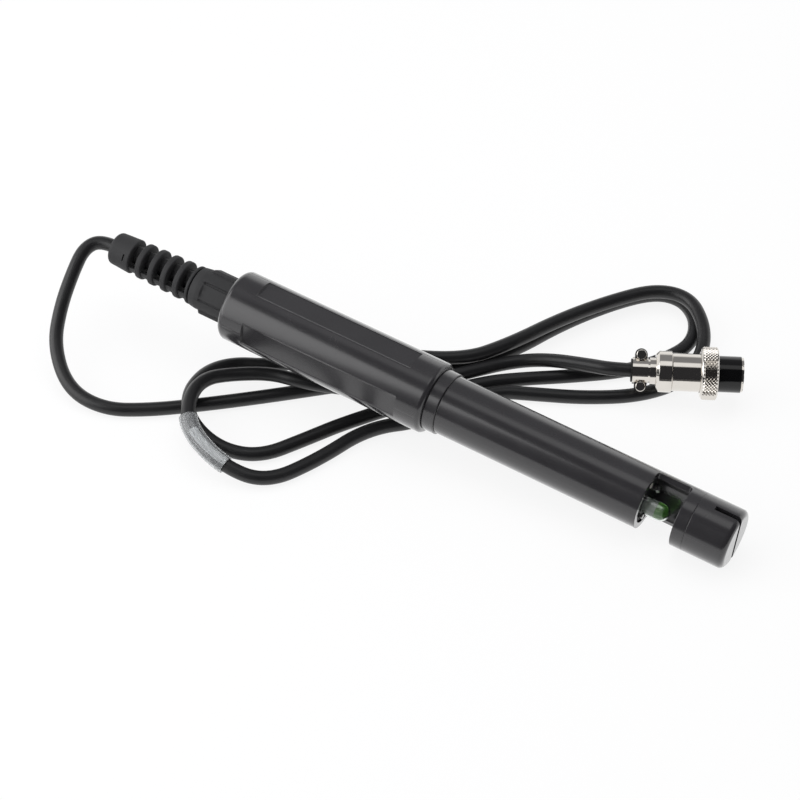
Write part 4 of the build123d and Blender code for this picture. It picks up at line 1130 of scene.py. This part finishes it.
        dressed = add(tree, "GeometryNodeSetMaterial", {}, {"Geometry": plain.outputs[0], "Material": rubber})
        add(tree, "NodeGroupOutput", {}, {0: dressed.outputs[0]})
        return tree

    def rings(self, rubber: bpy.types.Material) -> list[bpy.types.Object]:
        """The free rings, and the thin one behind the root."""
        first = self.root_end + self.last_ring + self.slot_width + self.ring_thickness / 2
        taper = (self.reach(first + self.ring_pitch) - self.reach(first)) / self.reach(first)
        tree = self.ring_tree(rubber)
        made = []
        for name, count, start, thickness, rounding in (
                ("relief_rings", self.ring_count, first, self.ring_thickness, self.ring_round),
                ("relief_thin_ring", 1, self.root_end + self.last_ring / 2, self.last_ring, 0.4)):
            values = {"Count": count, "Start": start, "Pitch": self.ring_pitch, "Thickness": thickness,
                      "Radius": self.reach(start), "Bore": self.bore, "Rounding": rounding, "Taper": taper}
            made.append(grown(name, tree, values, RELIEF_PLACE))
        return made

    def build(self, rubber: bpy.types.Material) -> None:
        """Makes the strain relief's pieces and seats them."""
        root = dress(self.root(), rubber)
        seated(root, Body.PROBE, "relief_rubber", "strain_relief")
        others = [self.rib(1), self.rib(-1), *self.webs(), self.boss()]
        for piece in [dress(piece, rubber) for piece in others] + self.rings(rubber):
            seated(piece, Body.PROBE, "relief_rubber")


# The connector.


@dataclass
class Connector:
    """The round nickel connector: shells, knurled coupling ring and black insert."""

    tail_start: float = 8.6
    tail_end: float = 14.3
    tail_radius: float = 7.3
    tail_chamfer: float = 1.1
    neck: float = 4.85
    shell_bore: float = 5.8
    front_radius: float = 6.7
    front_end: float = 30.2
    flange_start: float = 25.5
    flange_end: float = 26.7
    flange_radius: float = 7.8
    ring_start: float = 24.2
    ring_end: float = 30.3
    ring_radius: float = 9.4
    ring_lip: float = 7.0
    ring_bore: float = 8.1
    ring_chamfer: float = 1.1
    knurl_rows: int = 8
    knurl_count: int = 44
    knurl_height: float = 0.5
    insert_radius: float = 6.4
    insert_end: float = 38.4
    rim_end: float = 39.2
    rim_seat: float = 5.35

    def tail_shell(self) -> bpy.types.Object:
        """The rear shell, with its broad chamfer."""
        edge = self.tail_chamfer
        corners = [(self.tail_start, self.neck, 0.1), (self.tail_start, self.tail_radius - edge, 0.3),
                   (self.tail_start + edge, self.tail_radius, 0.3), (self.tail_end - 0.05, self.tail_radius, 0.22),
                   (self.tail_end - 0.05, self.shell_bore, 0.0), (self.tail_start + 2.2, self.shell_bore, 0.0),
                   (self.tail_start + 2.2, self.neck, 0.0)]
        return turned("rear_shell", rounded(corners, steps=4), PLUG_PLACE)

    def front_shell(self) -> bpy.types.Object:
        """The front shell and its flange, which the coupling ring hides."""
        corners = [(self.tail_end, self.shell_bore, 0.0), (self.tail_end, self.front_radius, 0.22),
                   (self.flange_start, self.front_radius, 0.0), (self.flange_start, self.flange_radius, 0.1),
                   (self.flange_end, self.flange_radius, 0.1), (self.flange_end, self.front_radius, 0.0),
                   (self.front_end, self.front_radius, 0.15), (self.front_end, self.shell_bore, 0.0)]
        return turned("front_shell_sleeve", rounded(corners, steps=4), PLUG_PLACE)

    def ring(self) -> bpy.types.Object:
        """The coupling ring's body, under its knurl."""
        radius = self.ring_radius - self.knurl_height
        edge = self.ring_chamfer
        corners = [(self.ring_start, self.ring_lip, 0.1), (self.ring_start, radius, edge),
                   (self.ring_end - 0.25, radius, 0.1), (self.ring_end, radius - 0.25, 0.1),
                   (self.ring_end, self.ring_bore, 0.1), (self.ring_start + 1.0, self.ring_bore, 0.0),
                   (self.ring_start + 1.0, self.ring_lip, 0.0)]
        return turned("ring_body", rounded(corners, steps=6), PLUG_PLACE)

    def knurl_tree(self, nickel: bpy.types.Material) -> bpy.types.NodeTree:
        """The tree that sets staggered four-sided studs round a ring, as a diamond knurl."""
        tree = bpy.data.node_groups.new("diamond_knurl", "GeometryNodeTree")
        tree.interface.new_socket("Geometry", in_out="OUTPUT", socket_type="NodeSocketGeometry")
        for name, kind in (("Rows", "NodeSocketInt"), ("Count", "NodeSocketInt"), ("Start", "NodeSocketFloat"),
                           ("Pitch", "NodeSocketFloat"), ("Radius", "NodeSocketFloat"),
                           ("Height", "NodeSocketFloat"), ("Stud Length", "NodeSocketFloat"),
                           ("Stud Width", "NodeSocketFloat")):
            tree.interface.new_socket(name, in_out="INPUT", socket_type=kind)
        given = add(tree, "NodeGroupInput").outputs
        index = add(tree, "GeometryNodeInputIndex").outputs[0]
        total = add(tree, "ShaderNodeMath", {"operation": "MULTIPLY"}, {0: given["Rows"], 1: given["Count"]})
        ratio = add(tree, "ShaderNodeMath", {"operation": "DIVIDE"}, {0: index, 1: given["Count"]})
        row = add(tree, "ShaderNodeMath", {"operation": "FLOOR"}, {0: ratio.outputs[0]})
        share = add(tree, "ShaderNodeMath", {"operation": "FRACT"}, {0: ratio.outputs[0]})
        odd = add(tree, "ShaderNodeMath", {"operation": "MODULO"}, {0: row.outputs[0], 1: 2.0})
        half = add(tree, "ShaderNodeMath", {"operation": "DIVIDE"}, {0: 0.5, 1: given["Count"]})
        offset = add(tree, "ShaderNodeMath", {"operation": "MULTIPLY_ADD"},
                     {0: odd.outputs[0], 1: half.outputs[0], 2: share.outputs[0]})
        angle = add(tree, "ShaderNodeMath", {"operation": "MULTIPLY"}, {0: offset.outputs[0], 1: 2 * math.pi})
        across = add(tree, "ShaderNodeMath", {"operation": "COSINE"}, {0: angle.outputs[0]})
        upward = add(tree, "ShaderNodeMath", {"operation": "SINE"}, {0: angle.outputs[0]})
        out = add(tree, "ShaderNodeCombineXYZ", {}, {1: across.outputs[0], 2: upward.outputs[0]})
        along = add(tree, "ShaderNodeMath", {"operation": "MULTIPLY_ADD"},
                    {0: row.outputs[0], 1: given["Pitch"], 2: given["Start"]})
        station = add(tree, "ShaderNodeCombineXYZ", {}, {0: along.outputs[0]})
        raised = add(tree, "ShaderNodeVectorMath", {"operation": "SCALE"},
                     {0: out.outputs[0], "Scale": given["Radius"]})
        at = add(tree, "ShaderNodeVectorMath", {"operation": "ADD"}, {0: raised.outputs[0], 1: station.outputs[0]})
        points = add(tree, "GeometryNodePoints", {}, {"Count": total.outputs[0], "Position": at.outputs[0]})
        tilt = add(tree, "FunctionNodeAxesToRotation", {"primary_axis": "Z", "secondary_axis": "X"},
                   {0: out.outputs[0], 1: (1.0, 0.0, 0.0)})
        stud = add(tree, "GeometryNodeMeshCone", {"fill_type": "NGON"},
                   {"Vertices": 4, "Radius Top": 0.12, "Radius Bottom": 1.0, "Depth": 1.0})
        size = add(tree, "ShaderNodeCombineXYZ", {}, {0: given["Stud Length"], 1: given["Stud Width"],
                                                      2: given["Height"]})
        studs = add(tree, "GeometryNodeInstanceOnPoints", {},
                    {"Points": points.outputs[0], "Instance": stud.outputs["Mesh"], "Rotation": tilt.outputs[0],
                     "Scale": size.outputs[0]})
        plain = add(tree, "GeometryNodeRealizeInstances", {}, {"Geometry": studs.outputs[0]})
        dressed = add(tree, "GeometryNodeSetMaterial", {}, {"Geometry": plain.outputs[0], "Material": nickel})
        add(tree, "NodeGroupOutput", {}, {0: dressed.outputs[0]})
        return tree

    def knurl(self, nickel: bpy.types.Material) -> bpy.types.Object:
        """The diamond knurl round the coupling ring."""
        land = self.ring_end - 0.1 - (self.ring_start + self.ring_chamfer * 0.6)
        pitch = land / (self.knurl_rows + 1)
        radius = self.ring_radius - self.knurl_height
        width = math.pi * radius / self.knurl_count
        values = {"Rows": self.knurl_rows, "Count": self.knurl_count,
                  "Start": self.ring_start + self.ring_chamfer * 0.6 + pitch, "Pitch": pitch, "Radius": radius - 0.02,
                  "Height": self.knurl_height, "Stud Length": pitch, "Stud Width": width}
        piece = grown("ring_knurl", self.knurl_tree(nickel), values, PLUG_PLACE)
        piece.data.shade_flat()
        return piece

    def build(self, finishes: dict[str, bpy.types.Material]) -> list[bpy.types.Object]:
        """Makes the connector's pieces, seats them, and returns those that go with the cable."""
        nickel = finishes["nickel"]
        rear = seated(dress(self.tail_shell(), nickel), Body.PROBE, "bright_nickel", "tail_shell")
        front = seated(dress(self.front_shell(), nickel), Body.PROBE, "bright_nickel", "front_shell")
        ring = seated(dress(self.ring(), nickel), Body.RING, "bright_nickel", "coupling_ring")
        knurl = seated(self.knurl(nickel), Body.RING, "bright_nickel")
        return [rear, front, ring, knurl]


# The CAD pieces that stay.


@dataclass(frozen=True)
class Kept:
    """CAD nodes whose shape is right, with the finish that each gets."""

    finishes: dict[str, str] = field(default_factory=lambda: {
        "sensor_core": "core", "inner_electrode": "silver", "ec_pins": "steel", "temperature_sensor": "steel",
        "reference_junction": "ceramic", "seal_ring": "nitrile", "circuit_board": "board",
        "board_components": "chip", "sensor_leads": "lead", "cable_leads": "lead", "cable_crimp": "nickel",
        "cable_tail": "jacket", "clamp_base": "nickel", "clamp_saddle": "nickel", "clamp_screws": "nickel",
        "clamp_bush": "nitrile", "locking_screw": "nickel", "contact_insert": "phenolic",
        "insert_rim": "nickel", "contacts": "gold"})

    def dress_all(self, nodes: dict[str, bpy.types.Object], finishes: dict[str, bpy.types.Material]) -> None:
        """Puts each finish on its node's material slots."""
        for name, finish in self.finishes.items():
            for slot in nodes[name].material_slots:
                slot.material = finishes[finish]
            LOG.info("%s keeps its solid, in %s", name, finish)


def main() -> None:
    """Builds the studio, then each sub-assembly in order."""
    logging.basicConfig(level=logging.INFO, format="%(name)s %(message)s")
    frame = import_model()
    Studio().build()
    finishes = {name: finish.make() for name, finish in {
        "housing": HOUSING, "core": CORE, "elastomer": ELASTOMER, "jacket": JACKET, "nickel": NICKEL,
        "steel": STEEL, "silver": SILVER, "phenolic": PHENOLIC, "gold": GOLD, "ceramic": CERAMIC,
        "nitrile": NITRILE, "paper": PAPER, "vinyl": VINYL, "glass": GLASS, "gel": GEL, "green": GREEN_GLASS,
        "board": BOARD, "chip": CHIP, "lead": LEAD}.items()}
    cable = Cable()
    cord, *on_cable = cable.build(finishes["jacket"], finishes["vinyl"], finishes["paper"])
    Tip().build(finishes)
    Grip().build(finishes["housing"])
    StrainRelief().build(finishes["elastomer"])
    shells = Connector().build(finishes)
    Kept().dress_all(frame["nodes"], finishes)


if __name__ == "__main__":
    main()
